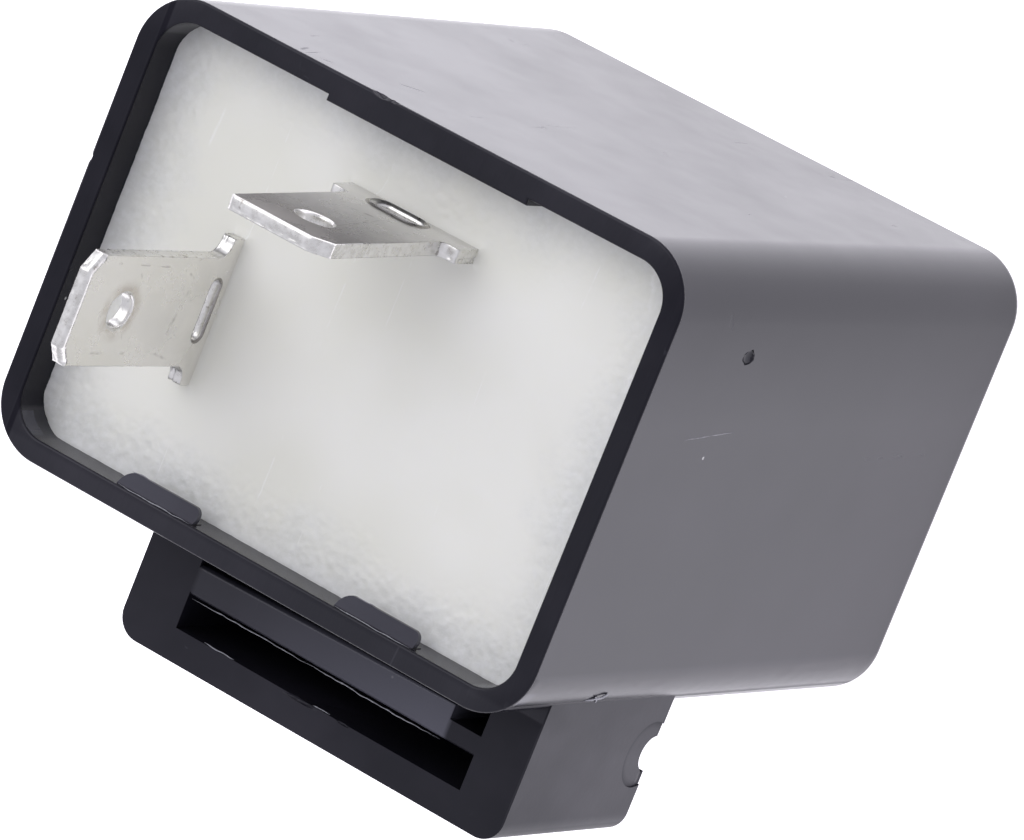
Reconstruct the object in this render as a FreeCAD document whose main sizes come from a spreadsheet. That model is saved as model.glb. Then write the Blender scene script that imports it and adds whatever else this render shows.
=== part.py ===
import FreeCAD, Part
import math
import os
import re

import Sketcher

# Two-terminal flasher relay: a moulded case with a mounting loop, potted at its open end, around
# a relay with a hinged armature, a capacitor and a resistor on one circuit board.
# Frame: the closed end stands on z = 0, the terminals point along +Z, the case's long side runs
# along X, and the mounting loop hangs from the -Y side. Millimetres and degrees.

DIMENSIONS = [
    # The moulding
    ("case_length", 36.2, "outside, along X at the rim"),
    ("case_width", 26.6, "outside, along Y at the rim"),
    ("case_height", 38.0, "closed end to rim"),
    ("case_corner", 3.4, "radius of the upright corners"),
    ("case_draft", 0.2, "draft of the walls, degrees"),
    ("case_edge", 0.9, "radius round the closed end"),
    ("face_land", 0.1, "how far the closed end is cut back into that radius"),
    ("wall", 1.3, "wall of the case"),
    ("floor_thickness", 1.4, "closed end"),
    ("lug_length", 5.2, "retaining lug, along X"),
    ("lug_rise", 0.8, "retaining lug, off the wall"),
    ("lug_top", 0.2, "lug's sloped front below the rim, at the wall"),
    ("lug_ramp", 0.95, "lug's sloped front below the rim, at the nose"),
    ("lug_foot", 1.15, "lower end of the nose below the rim"),
    ("lug_root", 0.7, "lug's underside below the rim, at the wall"),
    ("lug_flat", 0.05, "flat strip between the wall and each slope"),
    ("lug_near", -6.8, "centre of the first lug, X"),
    ("lug_far", 8.1, "centre of the second lug, X"),
    ("lug_round", 0.6, "lug's corners"),
    ("pad_x", 0.7, "centre of the low pad, X"),
    ("pad_length", 13.3, "low pad inside the +Y wall, along X"),
    ("pad_rise", 0.35, "low pad, off the wall"),
    ("pad_drop", 4.0, "low pad, down from the rim"),
    ("rim_break", 0.15, "rounding of the rim's edges"),
    ("ledge_width", 2.0, "board ledge, along Y"),
    ("ledge_rise", 1.2, "board ledge, off the wall"),
    ("ledge_spread", 7.4, "board ledges, centre from the middle, Y"),
    # The mounting loop
    ("loop_left", -8.9, "outside face towards -X"),
    ("loop_right", 17.15, "outside face towards +X"),
    ("loop_drop", 7.2, "below the case's -Y face"),
    ("loop_setback", 4.8, "front face behind the rim"),
    ("loop_depth", 12.9, "along Z"),
    ("loop_corner", 1.4, "outside corners"),
    ("loop_root", 2.3, "run of the loop's walls up into the case"),
    ("slot_left", -5.45, "tab slot, left end"),
    ("slot_right", 14.0, "tab slot, right end"),
    ("slot_height", 1.95, "tab slot, along Y"),
    ("slot_floor", 1.8, "wall under the tab slot"),
    ("loop_back_wall", 1.2, "closes the slot and the gap at the back"),
    ("bar_thickness", 1.8, "grip bar over the tab slot, at its left end"),
    ("bar_lift", 0.35, "rise of the grip bar's top towards its right end"),
    ("bar_nose", 0.3, "rounding of the grip bar's front edges"),
    ("bar_ceiling", 0.05, "gap's top below the case"),
    ("relief_length", 2.1, "notch that frees the bar's right end, along X"),
    ("relief_web", 1.15, "web left under the notch"),
    ("grip_rise", 0.35, "grip rib under the bar"),
    ("grip_length", 4.0, "grip rib, along Z"),
    ("gate_radius", 1.03, "half-round gate mark in the right wall"),
    ("gate_drop", 2.3, "gate mark below the case's -Y face"),
    ("gate_offset", 0.75, "ring's centre above the loop's back"),
    ("gate_ring", 1.95, "shallow ring round the gate mark"),
    ("gate_sink", 0.08, "depth of that ring"),
    # Potting and board
    ("resin_recess", 2.45, "resin below the rim"),
    ("board_top", 32.4, "board's solder side, Z"),
    ("board_thickness", 1.6, "board"),
    ("board_length", 33.0, "board, along X"),
    ("board_width", 23.3, "board, along Y"),
    ("board_corner", 2.6, "board's corners"),
    ("copper", 0.07, "copper on the board"),
    ("lead_rise", 0.8, "legs and leads above the board"),
    # The two terminals
    ("blade_width", 6.3, "male tab"),
    ("blade_thickness", 0.8, "male tab"),
    ("blade_hole", 1.0, "radius of the detent hole"),
    ("blade_nose_rise", 0.8, "corner cut at the tip, along Z"),
    ("blade_nose_in", 1.0, "corner cut at the tip, across"),
    ("blade_bevel", 0.2, "bevel across the tip"),
    ("shoulder_width", 8.5, "wide part of the terminal"),
    ("window_height", 1.5, "oblong window, along Z"),
    ("window_length", 3.6, "oblong window, across"),
    ("tail_width", 1.5, "soldered tails"),
    ("tail_inset", 1.9, "inner edge of a tail from the middle"),
    ("tail_reach", 1.1, "tails below the board"),
    ("supply_x", -9.08, "middle of the supply terminal, X"),
    ("supply_y", -1.75, "middle of the supply terminal, Y"),
    ("supply_reach", 11.05, "tip above the rim"),
    ("supply_hole_drop", 4.05, "detent hole below the tip"),
    ("supply_shoulder", 1.2, "shoulder above the resin"),
    ("supply_round", 0.8, "inside radius between blade and shoulder"),
    ("supply_window", 1.05, "window's centre above the resin"),
    ("supply_window_shift", 0, "window's centre from the blade's middle"),
    ("supply_far_nose", 1.0, "corner cut on the blade's far side, across"),
    ("lamp_x", 0.3, "middle of the lamp terminal, X"),
    ("lamp_y", 7.55, "middle of the lamp terminal, Y"),
    ("lamp_tilt", 2.0, "lean of the lamp terminal towards -Y, degrees"),
    ("lamp_reach", 10.7, "tip above the rim"),
    ("lamp_hole_drop", 3.4, "detent hole below the tip"),
    ("lamp_shoulder", 2.1, "shoulder above the resin"),
    ("lamp_round", 0.5, "inside radius between blade and shoulder"),
    ("lamp_window", 1.3, "window's centre above the resin"),
    ("lamp_window_shift", -0.4, "window's centre from the blade's middle"),
    ("lamp_far_nose", 0.2, "corner cut on the blade's far side, across"),
    # The magnet
    ("coil_x", -5.0, "axis of the coil, X"),
    ("yoke_top", 28.8, "top of the yoke's plate, Z"),
    ("yoke_thickness", 1.5, "yoke"),
    ("yoke_width", 11.0, "yoke, along Y"),
    ("yoke_left", -12.8, "outer face of the yoke's arm, X"),
    ("yoke_right", 1.5, "end of the yoke's plate, X"),
    ("arm_end", 12.7, "lower end of the yoke's arm, Z"),
    ("horn_drop", 1.5, "guide horns below the arm's end"),
    ("horn_width", 1.1, "guide horns, along Y"),
    ("leg_width", 2.0, "yoke legs through the board"),
    ("hook_tab_top", 22.4, "spring tab on the yoke, Z"),
    ("hook_tab_thickness", 0.9, "spring tab"),
    ("hook_tab_reach", 2.5, "spring tab, out from the arm"),
    ("core_radius", 2.4, "core"),
    ("tenon_radius", 1.7, "riveted end of the core"),
    ("rivet_radius", 2.3, "head formed on the tenon"),
    ("rivet_rise", 0.4, "that head"),
    ("pole_radius", 4.0, "pole face"),
    ("pole_face", 13.05, "pole face, Z"),
    ("pole_thickness", 1.15, "pole plate"),
    ("bobbin_radius", 6.0, "bobbin flange"),
    ("bobbin_wall", 0.8, "bobbin tube"),
    ("bobbin_play", 0.05, "bobbin round the core"),
    ("flange", 0.9, "bobbin flange thickness"),
    ("winding_radius", 5.5, "winding, outside"),
    ("pin_radius", 0.35, "coil pins"),
    ("pin_shift", -1.6, "coil pins from the coil's axis, X"),
    ("pin_spread", 6.9, "coil pins from the middle, Y"),
    ("pin_block", 2.6, "block that holds a coil pin, side"),
    ("pin_stub", 2.2, "coil pins below the yoke's plate"),
    ("coil_wire", 0.15, "radius of the winding's wire"),
    # The armature and the contacts
    ("armature_gap", 0.05, "armature below the arm's end"),
    ("armature_thickness", 1.3, "armature"),
    ("armature_tail", -15.4, "armature's tail, X"),
    ("armature_tip", 1.2, "armature's free end, X"),
    ("armature_width", 10.0, "armature over the pole"),
    ("neck_width", 8.4, "armature between the horns"),
    ("neck_play", 0.35, "armature clear of the arm, along X"),
    ("tail_plate_width", 5.0, "armature's tail, along Y"),
    ("leaf_thickness", 0.25, "contact leaf"),
    ("leaf_width", 4.6, "contact leaf"),
    ("leaf_root", -4.6, "contact leaf's fixed end, X"),
    ("leaf_tip", 3.9, "contact leaf's free end, X"),
    ("leaf_round", 1.2, "contact leaf's tip corners"),
    ("leaf_rivet_radius", 0.6, "leaf rivets"),
    ("leaf_rivet_head", 0.3, "leaf rivets, head"),
    ("leaf_rivet_near", -3.6, "first leaf rivet, X"),
    ("leaf_rivet_far", -1.2, "second leaf rivet, X"),
    ("contact_x", 2.5, "contacts' axis, X"),
    ("contact_radius", 1.4, "contact heads"),
    ("contact_rise", 0.65, "contact heads"),
    ("contact_shank", 0.65, "contact shanks"),
    ("contact_head", 0.3, "head formed behind the carrier"),
    ("contact_gap", 0.05, "between the contacts at rest"),
    ("bracket_thickness", 0.8, "fixed contact's bracket"),
    ("bracket_width", 5.0, "fixed contact's bracket"),
    ("bracket_x", 4.6, "bracket's inner face, X"),
    ("bracket_end", 0.9, "bracket's foot, end, X"),
    ("bracket_bend", 0.6, "inside radius of the bracket's bend"),
    ("bracket_leg", 1.6, "bracket's leg through the board"),
    # The return spring
    ("spring_x", -14.3, "axis of the spring, X"),
    ("spring_radius", 0.85, "to the middle of its wire"),
    ("spring_wire", 0.16, "radius of its wire"),
    ("spring_eye", 0.25, "clearance of the eyes round the wire"),
    ("spring_stand", 1.0, "coils clear of the eyes"),
    ("spring_hook", 0.45, "wire past an eye"),
    ("spring_turns", 14, "turns"),
    # Capacitor and resistor
    ("cap_x", 10.9, "capacitor's axis, X"),
    ("cap_top", 29.8, "capacitor's bung end, Z"),
    ("cap_length", 16.0, "capacitor"),
    ("cap_radius", 4.85, "can"),
    ("cap_wall", 0.3, "can"),
    ("cap_roll", 0.45, "groove rolled round the can"),
    ("cap_groove", 1.5, "groove below the can's mouth"),
    ("cap_crimp", 0.9, "mouth turned in over the bung"),
    ("sleeve_thickness", 0.14, "printed sleeve"),
    ("sleeve_lip", 1.1, "sleeve turned over the can's ends"),
    ("bung_height", 2.6, "rubber bung"),
    ("element_length", 10.6, "wound element"),
    ("cap_pitch", 5.0, "between the capacitor's leads"),
    ("cap_lead", 0.3, "radius of those leads"),
    ("resistor_y", -9.25, "resistor's axis, Y"),
    ("resistor_z", 29.1, "resistor's axis, Z"),
    ("resistor_length", 6.5, "resistor body"),
    ("resistor_radius", 1.15, "resistor body"),
    ("resistor_waist", 0.15, "body between its end caps"),
    ("resistor_cap", 1.3, "end caps, along X"),
    ("resistor_span", 11.0, "between the resistor's legs"),
    ("resistor_lead", 0.3, "radius of its leads"),
    ("hole_clearance", 0.15, "board holes round legs and leads"),
    ("solder_radius", 1.05, "foot of a solder joint"),
    ("solder_rise", 0.65, "solder joint above or below the board"),
    ("solder_margin", 0.4, "solder beyond a flat leg's corners"),
]

doc = FreeCAD.newDocument("flasher_relay")
dims = doc.addObject("Spreadsheet::Sheet", "dims")
for row, (alias, number, meaning) in enumerate(DIMENSIONS, start=1):
    dims.set(f"A{row}", alias)
    dims.set(f"B{row}", str(number))
    dims.set(f"C{row}", meaning)
    dims.setAlias(f"B{row}", alias)
doc.recompute()

ALIAS = re.compile(r"\b(" + "|".join(alias for alias, number, meaning in DIMENSIONS) + r")\b")
nodes = []


def value(formula):
    """A formula in the sheet's aliases, worked out."""
    return float(dims.evalExpression(str(formula)))


def bind(item, prop, formula):
    """Drive a property from the sheet."""
    item.setExpression(prop, ALIAS.sub(r"dims.\1", str(formula)))


def vector(x, y, z):
    return FreeCAD.Vector(value(x), value(y), value(z))


# Sketches -------------------------------------------------------------------------------------


def new_body(label, x="0", y="0", z="0"):
    """A body whose origin stands at x, y, z and whose label names its file."""
    body = doc.addObject("PartDesign::Body", label)
    body.Label = label
    for axis, formula in zip("xyz", (x, y, z)):
        bind(body, f"Placement.Base.{axis}", formula)
    nodes.append(body)
    return body


def new_sketch(body, plane, shift="0"):
    """An empty sketch on one of the body's own planes, moved along the plane's normal."""
    sketch = body.newObject("Sketcher::SketchObject", f"{body.Label}_sketch")
    support = next(item for item in body.Origin.OriginFeatures if item.Role == plane)
    sketch.AttachmentSupport = (support, [""])
    sketch.MapMode = "FlatFace"
    bind(sketch, "AttachmentOffset.Base.z", shift)
    return sketch


def fix(sketch, kind, curve, point, formula):
    """Hold one point of a curve at a distance from the sketch's origin."""
    constraint = Sketcher.Constraint(kind, -1, 1, curve, point, value(formula))
    index = sketch.addConstraint(constraint)
    bind(sketch, f"Constraints[{index}]", formula)


def polygon(sketch, corners):
    """Closed outline through corners given as pairs of formulas."""
    points = [vector(x, y, 0) for x, y in corners]
    first = sketch.GeometryCount
    for start, end in zip(points, points[1:] + points[:1]):
        sketch.addGeometry(Part.LineSegment(start, end))
    for index, (x, y) in enumerate(corners):
        following = first + (index + 1) % len(corners)
        joint = Sketcher.Constraint("Coincident", first + index, 2, following, 1)
        sketch.addConstraint(joint)
        fix(sketch, "DistanceX", first + index, 1, x)
        fix(sketch, "DistanceY", first + index, 1, y)


def rectangle(sketch, low_x, high_x, low_y, high_y):
    polygon(sketch, [(low_x, low_y), (high_x, low_y), (high_x, high_y), (low_x, high_y)])


def circle(sketch, x, y, radius):
    disc = Part.Circle(vector(x, y, 0), FreeCAD.Vector(0, 0, 1), value(radius))
    curve = sketch.addGeometry(disc)
    fix(sketch, "DistanceX", curve, 3, x)
    fix(sketch, "DistanceY", curve, 3, y)
    index = sketch.addConstraint(Sketcher.Constraint("Radius", curve, value(radius)))
    bind(sketch, f"Constraints[{index}]", radius)


# Features -------------------------------------------------------------------------------------


def extrude(kind, body, sketch, length, symmetric=False, backwards=False, taper="0"):
    """A pad or a pocket; it has to change the body's volume."""
    before = body.Shape.Volume if body.Tip else 0
    feature = body.newObject(kind, f"{body.Label}_{kind.split('::')[1].lower()}")
    feature.Profile = sketch
    feature.Reversed = backwards
    bind(feature, "Length", length)
    bind(feature, "TaperAngle", taper)
    if symmetric:
        feature.SideType = "Symmetric"
    doc.recompute()
    grown = body.Shape.Volume - before
    if grown * (1 if kind.endswith("Pad") else -1) <= 0:
        raise RuntimeError(f"{feature.Name} changes nothing")
    return feature


def pad(body, sketch, length, **options):
    return extrude("PartDesign::Pad", body, sketch, length, **options)


def pocket(body, sketch, depth, **options):
    return extrude("PartDesign::Pocket", body, sketch, depth, **options)


def revolve(body, sketch):
    """A full turn about the sketch's upright axis."""
    feature = body.newObject("PartDesign::Revolution", f"{body.Label}_revolution")
    feature.Profile = sketch
    feature.ReferenceAxis = (sketch, ["V_Axis"])
    feature.Angle = 360
    doc.recompute()
    return feature


def dress(kind, body, size_name, formula, chosen):
    """A fillet or a chamfer on the edges of the body's tip that the test chooses."""
    tip = body.Tip
    names = [f"Edge{i}" for i, edge in enumerate(tip.Shape.Edges, start=1) if chosen(edge)]
    if not names:
        raise RuntimeError(f"no edge of {body.Label} was chosen")
    feature = body.newObject(kind, f"{body.Label}_{kind.split('::')[1].lower()}")
    feature.Base = (tip, names)
    bind(feature, size_name, formula)
    doc.recompute()
    return feature


def fillet(body, radius, chosen):
    return dress("PartDesign::Fillet", body, "Radius", radius, chosen)


def chamfer(body, size, chosen):
    return dress("PartDesign::Chamfer", body, "Size", size, chosen)


def middle(edge):
    return edge.valueAt((edge.FirstParameter + edge.LastParameter) / 2)


def upright(edge):
    """True for an edge that runs mostly along Z."""
    box = edge.BoundBox
    return box.ZLength > 5 * max(box.XLength, box.YLength)


def near(first, second, tolerance=0.02):
    return abs(first - second) < tolerance


# The moulding ---------------------------------------------------------------------------------

RIM = "case_height"
RESIN_TOP = "(case_height - resin_recess)"
BOARD_FOOT = "(board_top - board_thickness)"
LOOP_FRONT = "(case_height - loop_setback)"
LOOP_BACK = "(case_height - loop_setback - loop_depth)"
LOOP_BOTTOM = "(-case_width/2 - loop_drop)"
SLOT_TOP = f"({LOOP_BOTTOM} + slot_floor + slot_height)"


def housing():
    body = new_body("housing")
    case_shell(body)
    mounting_loop(body)
    inner_features(body)
    return body


def case_shell(body):
    """The drafted case with its rounded corners and flat closed end, before it is hollowed."""
    lean = "(case_height + face_land)*tan(case_draft)"
    half_x = f"(case_length/2 - {lean})"
    half_y = f"(case_width/2 - {lean})"
    outline = new_sketch(body, "XY_Plane", "-face_land")
    rectangle(outline, f"-{half_x}", half_x, f"-{half_y}", half_y)
    pad(body, outline, "case_height + face_land", taper="case_draft")
    fillet(body, "case_corner", upright)
    fillet(body, "case_edge", lambda edge: edge.BoundBox.ZMax < 0)
    land = new_sketch(body, "XY_Plane")
    rectangle(land, "-case_length", "case_length", "-case_width", "case_width")
    pocket(body, land, "2*face_land")


def mounting_loop(body):
    """The loop on the -Y side: a blind tab slot, a grip bar over it and a gap above the bar."""
    bottom = value(LOOP_BOTTOM)
    block = new_sketch(body, "XY_Plane", LOOP_BACK)
    rectangle(block, "loop_left", "loop_right", LOOP_BOTTOM, "-case_width/2 + loop_root")
    pad(body, block, "loop_depth")
    fillet(body, "loop_corner", lambda edge: upright(edge) and near(middle(edge).y, bottom))

    slot = new_sketch(body, "XY_Plane", LOOP_FRONT)
    rectangle(slot, "slot_left", "slot_right", f"{LOOP_BOTTOM} + slot_floor", SLOT_TOP)
    pocket(body, slot, "loop_depth - loop_back_wall")
    gap = new_sketch(body, "XY_Plane", LOOP_FRONT)
    bar_top = f"{SLOT_TOP} + bar_thickness"
    web_top = f"{SLOT_TOP} + relief_web"
    ceiling = "-case_width/2 - bar_ceiling"
    relief_x = "slot_right - relief_length"
    polygon(gap, [("slot_left", bar_top), (relief_x, f"{bar_top} + bar_lift"),
                  (relief_x, web_top), ("slot_right", web_top), ("slot_right", ceiling),
                  ("slot_left", ceiling)])
    pocket(body, gap, "loop_depth - loop_back_wall")

    front = value(LOOP_FRONT)
    top_middle = value(f"{bar_top} + bar_lift/2")
    for height in (top_middle, value(SLOT_TOP)):
        fillet(body, "bar_nose", lambda edge: near(edge.BoundBox.ZMin, front)
               and edge.BoundBox.XLength > value("slot_right") and near(middle(edge).y, height))

    rib = new_sketch(body, "YZ_Plane", "slot_left")
    centre = f"({LOOP_FRONT} - loop_depth/2)"
    polygon(rib, [(f"{SLOT_TOP} + bar_thickness/4", f"{centre} - grip_length/2"),
                  (SLOT_TOP, f"{centre} - grip_length/2"),
                  (f"{SLOT_TOP} - grip_rise", centre),
                  (SLOT_TOP, f"{centre} + grip_length/2"),
                  (f"{SLOT_TOP} + bar_thickness/4", f"{centre} + grip_length/2")])
    pad(body, rib, "slot_right - slot_left")

    gate_y = "-case_width/2 - gate_drop"
    mark = new_sketch(body, "YZ_Plane", "loop_right")
    circle(mark, gate_y, LOOP_BACK, "gate_radius")
    pocket(body, mark, "loop_right - slot_right")
    ring = new_sketch(body, "YZ_Plane", "loop_right")
    circle(ring, gate_y, f"{LOOP_BACK} + gate_offset", "gate_ring")
    pocket(body, ring, "gate_sink")


def inner_features(body):
    """The cavity, the two hooked lugs, the low pad opposite them and the board's ledges."""
    wall_x = "(case_length/2 - wall)"
    wall_y = "(case_width/2 - wall)"
    cavity = new_sketch(body, "XY_Plane", RIM)
    rectangle(cavity, f"-{wall_x}", wall_x, f"-{wall_y}", wall_y)
    pocket(body, cavity, "case_height - floor_thickness", taper="-case_draft")
    inside = value("case_length/2 - wall")
    reach = value("case_height*tan(case_draft)") + 0.1
    fillet(body, "case_corner - wall", lambda edge: upright(edge)
           and inside - reach < abs(middle(edge).x) < inside
           and abs(middle(edge).y) < value(wall_y))

    lugs = new_sketch(body, "XY_Plane", f"{RIM} - lug_top")
    for centre in ("lug_near", "lug_far"):
        rectangle(lugs, f"{centre} - lug_length/2", f"{centre} + lug_length/2",
                  f"-{wall_y} - wall/2", f"-{wall_y} + lug_rise")
    pad(body, lugs, "lug_foot - lug_top", backwards=True)
    lug_face = value(f"-{wall_y} + lug_rise")
    fillet(body, "lug_round", lambda edge: near(edge.BoundBox.ZLength, value("lug_foot - lug_top"))
           and near(middle(edge).y, lug_face))
    slopes = new_sketch(body, "YZ_Plane", "-case_length*0.3")
    root, beyond = f"-{wall_y} + lug_flat", f"-{wall_y} + 2*lug_rise"
    polygon(slopes, [(root, RIM), (root, f"{RIM} - lug_top"),
                     (beyond, f"{RIM} + lug_top - 2*lug_ramp"), (beyond, RIM)])
    polygon(slopes, [(root, f"{RIM} - lug_root"), (root, f"{RIM} - 2*lug_foot"),
                     (beyond, f"{RIM} - 2*lug_foot"), (beyond, f"{RIM} + lug_root - 2*lug_foot")])
    pocket(body, slopes, "case_length*0.6", backwards=True)

    low_pad = new_sketch(body, "XY_Plane", RIM)
    rectangle(low_pad, "pad_x - pad_length/2", "pad_x + pad_length/2",
              f"{wall_y} - pad_rise", f"{wall_y} + wall/2")
    pad(body, low_pad, "pad_drop", backwards=True)

    ledges = new_sketch(body, "XY_Plane", "floor_thickness/2")
    for side in ("-", ""):
        for centre in ("-ledge_spread", "ledge_spread"):
            ends = sorted((f"{side}({wall_x} - ledge_rise)", f"{side}({wall_x} + wall/3)"), key=value)
            rectangle(ledges, ends[0], ends[1],
                      f"{centre} - ledge_width/2", f"{centre} + ledge_width/2")
    pad(body, ledges, f"{BOARD_FOOT} - floor_thickness/2")

    rim = value(RIM)
    fillet(body, "rim_break", lambda edge: near(edge.BoundBox.ZMin, rim))


# The terminals --------------------------------------------------------------------------------


def terminal(label, plane, kind, tilt="0"):
    """A male blade with its shoulder, window and two tails; z = 0 is the resin's surface."""
    body = new_body(label, f"{kind}_x", f"{kind}_y", RESIN_TOP)
    if tilt != "0":
        body.Placement.Rotation = FreeCAD.Rotation(FreeCAD.Vector(1, 0, 0), value(tilt))
        bind(body, "Placement.Rotation.Angle", tilt)
    tip = f"(resin_recess + {kind}_reach)"
    foot = f"(board_top + copper*1.5 - {RESIN_TOP})"
    tail_end = f"({BOARD_FOOT} - tail_reach - {RESIN_TOP})"
    half = [
        ("tail_inset", foot),
        ("tail_inset", tail_end),
        ("(tail_inset + tail_width)", tail_end),
        ("(tail_inset + tail_width)", foot),
        ("shoulder_width/2", foot),
        ("shoulder_width/2", f"{kind}_shoulder"),
        ("blade_width/2", f"{kind}_shoulder"),
    ]
    near_nose = [("blade_width/2", f"{tip} - blade_nose_rise"),
                 ("(blade_width/2 - blade_nose_in)", tip)]
    far_nose = [(f"({kind}_far_nose - blade_width/2)", tip),
                ("-blade_width/2", f"{tip} - blade_nose_rise*{kind}_far_nose")]
    profile = new_sketch(body, plane)
    mirrored = [(f"-{across}", up) for across, up in reversed(half)]
    polygon(profile, half + near_nose + far_nose + mirrored)
    circle(profile, "0", f"{tip} - {kind}_hole_drop", "blade_hole")
    oblong(profile, f"{kind}_window_shift", f"{kind}_window", "window_length", "window_height")
    pad(body, profile, "blade_thickness", symmetric=True)

    shoulder = value(f"{kind}_shoulder")
    top = value(tip)
    half_blade = value("blade_width/2")
    flat = 0 if plane == "XZ_Plane" else 1
    fillet(body, f"{kind}_round", lambda edge: near(middle(edge).z, shoulder)
           and near(abs(middle(edge)[flat]), half_blade))
    chamfer(body, "blade_bevel", lambda edge: near(middle(edge).z, top)
            and edge.Length > half_blade)
    return body


def oblong(sketch, across, rise, length, height):
    """A level slot with round ends, its centre at (across, rise)."""
    left_x = f"{across} - ({length} - {height})/2"
    right_x = f"{across} + ({length} - {height})/2"
    radius = value(f"{height}/2")
    low, high = f"{rise} - {height}/2", f"{rise} + {height}/2"
    right_low, right_high = vector(right_x, low, 0), vector(right_x, high, 0)
    left_high, left_low = vector(left_x, high, 0), vector(left_x, low, 0)
    turn = math.pi / 2
    axis = FreeCAD.Vector(0, 0, 1)
    right = Part.Circle(vector(right_x, rise, 0), axis, radius)
    left = Part.Circle(vector(left_x, rise, 0), axis, radius)
    bottom = sketch.addGeometry(Part.LineSegment(left_low, right_low))
    east = sketch.addGeometry(Part.ArcOfCircle(right, -turn, turn))
    top = sketch.addGeometry(Part.LineSegment(right_high, left_high))
    west = sketch.addGeometry(Part.ArcOfCircle(left, turn, 3 * turn))
    for first, start, second, end in ((bottom, 2, east, 1), (east, 2, top, 1),
                                      (top, 2, west, 1), (west, 2, bottom, 1)):
        sketch.addConstraint(Sketcher.Constraint("Coincident", first, start, second, end))
    for curve, x, up in ((bottom, left_x, low), (east, right_x, low),
                         (top, right_x, high), (west, left_x, high)):
        fix(sketch, "DistanceX", curve, 1, x)
        fix(sketch, "DistanceY", curve, 1, up)
    fix(sketch, "DistanceX", east, 3, right_x)
    fix(sketch, "DistanceX", west, 3, left_x)


# Board, copper and solder ---------------------------------------------------------------------

# Flat legs that pass through the board: centre x, centre y, size along x, size along y
TAIL_Y = "(tail_inset + tail_width/2)"
LAMP_LINE = f"(lamp_y + ({RESIN_TOP} - board_top)*tan(lamp_tilt))"
TAILS = [
    ("supply_x", f"(supply_y - {TAIL_Y})", "blade_thickness", "tail_width"),
    ("supply_x", f"(supply_y + {TAIL_Y})", "blade_thickness", "tail_width"),
    (f"(lamp_x - {TAIL_Y})", LAMP_LINE, "tail_width", "blade_thickness"),
    (f"(lamp_x + {TAIL_Y})", LAMP_LINE, "tail_width", "blade_thickness"),
]
ARM_X = "(yoke_left + yoke_thickness/2)"
LEG_Y = "(yoke_width/2 - leg_width/2)"
LEGS = [
    (ARM_X, f"-{LEG_Y}", "yoke_thickness", "leg_width"),
    (ARM_X, LEG_Y, "yoke_thickness", "leg_width"),
    ("(yoke_right - yoke_thickness/2)", "0", "yoke_thickness", "leg_width"),
    ("(bracket_x + bracket_thickness/2)", "0", "bracket_thickness", "bracket_leg"),
]
# Round leads that pass through the board: x, y, radius
COIL_PINS = [("(coil_x + pin_shift)", "-pin_spread", "pin_radius"),
             ("(coil_x + pin_shift)", "pin_spread", "pin_radius")]
CAP_LEADS = [("cap_x", "-cap_pitch/2", "cap_lead"), ("cap_x", "cap_pitch/2", "cap_lead")]
RESISTOR_LEADS = [("-resistor_span/2", "resistor_y", "resistor_lead"),
                  ("resistor_span/2", "resistor_y", "resistor_lead")]
PINS = COIL_PINS + CAP_LEADS + RESISTOR_LEADS
LEAD_TOP = "(board_top + lead_rise)"


def pierce(body, shift, depth, clearance):
    """The board's holes, cut down from the given height; the tails always pass clear."""
    holes = new_sketch(body, "XY_Plane", shift)
    flat = [(*tail, "hole_clearance") for tail in TAILS] + [(*leg, clearance) for leg in LEGS]
    for x, y, size_x, size_y, gap in flat:
        half_x, half_y = f"({size_x}/2 + {gap})", f"({size_y}/2 + {gap})"
        rectangle(holes, f"{x} - {half_x}", f"{x} + {half_x}", f"{y} - {half_y}", f"{y} + {half_y}")
    for x, y, radius in PINS:
        circle(holes, x, y, f"{radius} + {clearance}")
    pocket(body, holes, depth)


def circuit_board():
    body = new_body("circuit_board")
    outline = new_sketch(body, "XY_Plane", BOARD_FOOT)
    rectangle(outline, "-board_length/2", "board_length/2", "-board_width/2", "board_width/2")
    pad(body, outline, "board_thickness")
    fillet(body, "board_corner", upright)
    pierce(body, "board_top", "board_thickness", "hole_clearance")


def upright_edge(edge):
    return edge.BoundBox.ZLength > 0 and near(edge.BoundBox.XLength + edge.BoundBox.YLength, 0)


def copper_tracks():
    """Four nets on the solder side, and a land round the yoke's third leg."""
    body = new_body("copper_tracks")
    outline = new_sketch(body, "XY_Plane", "board_top")
    polygon(outline, [(-13.7, -6.2), (-7.95, -6.2), (-7.95, 6.2), (-13.7, 6.2)])
    polygon(outline, [(-7.7, 5.8), (-5.4, 5.8), (-5.4, 6.4), (3.5, 6.4), (3.5, -1.5), (6.5, -1.5),
                      (6.5, 1.2), (12.4, 1.2), (12.4, 3.8), (6.5, 3.8), (6.5, 9.2), (-7.7, 9.2)])
    polygon(outline, [(4.2, -10.6), (12.4, -10.6), (12.4, -1.2), (9.4, -1.2), (9.4, -7.9),
                      (4.2, -7.9)])
    polygon(outline, [(-7.7, -10.6), (-4.2, -10.6), (-4.2, -7.9), (-5.4, -7.9), (-5.4, -5.6),
                      (-7.7, -5.6)])
    polygon(outline, [(-0.6, -1.7), (2.1, -1.7), (2.1, 1.7), (-0.6, 1.7)])
    pad(body, outline, "copper")
    pierce(body, "board_top + copper", "copper", "0")


def new_part(kind, name, **properties):
    item = doc.addObject(kind, name)
    for prop, formula in properties.items():
        bind(item, prop, formula)
    return item


def place(item, x, y, z):
    for axis, formula in zip("xyz", (x, y, z)):
        bind(item, f"Placement.Base.{axis}", formula)


def compound(name, items):
    group = doc.addObject("Part::Compound", name)
    group.Links = items
    return group


def as_node(item, label):
    item.Label = label
    nodes.append(item)
    return item


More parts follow.
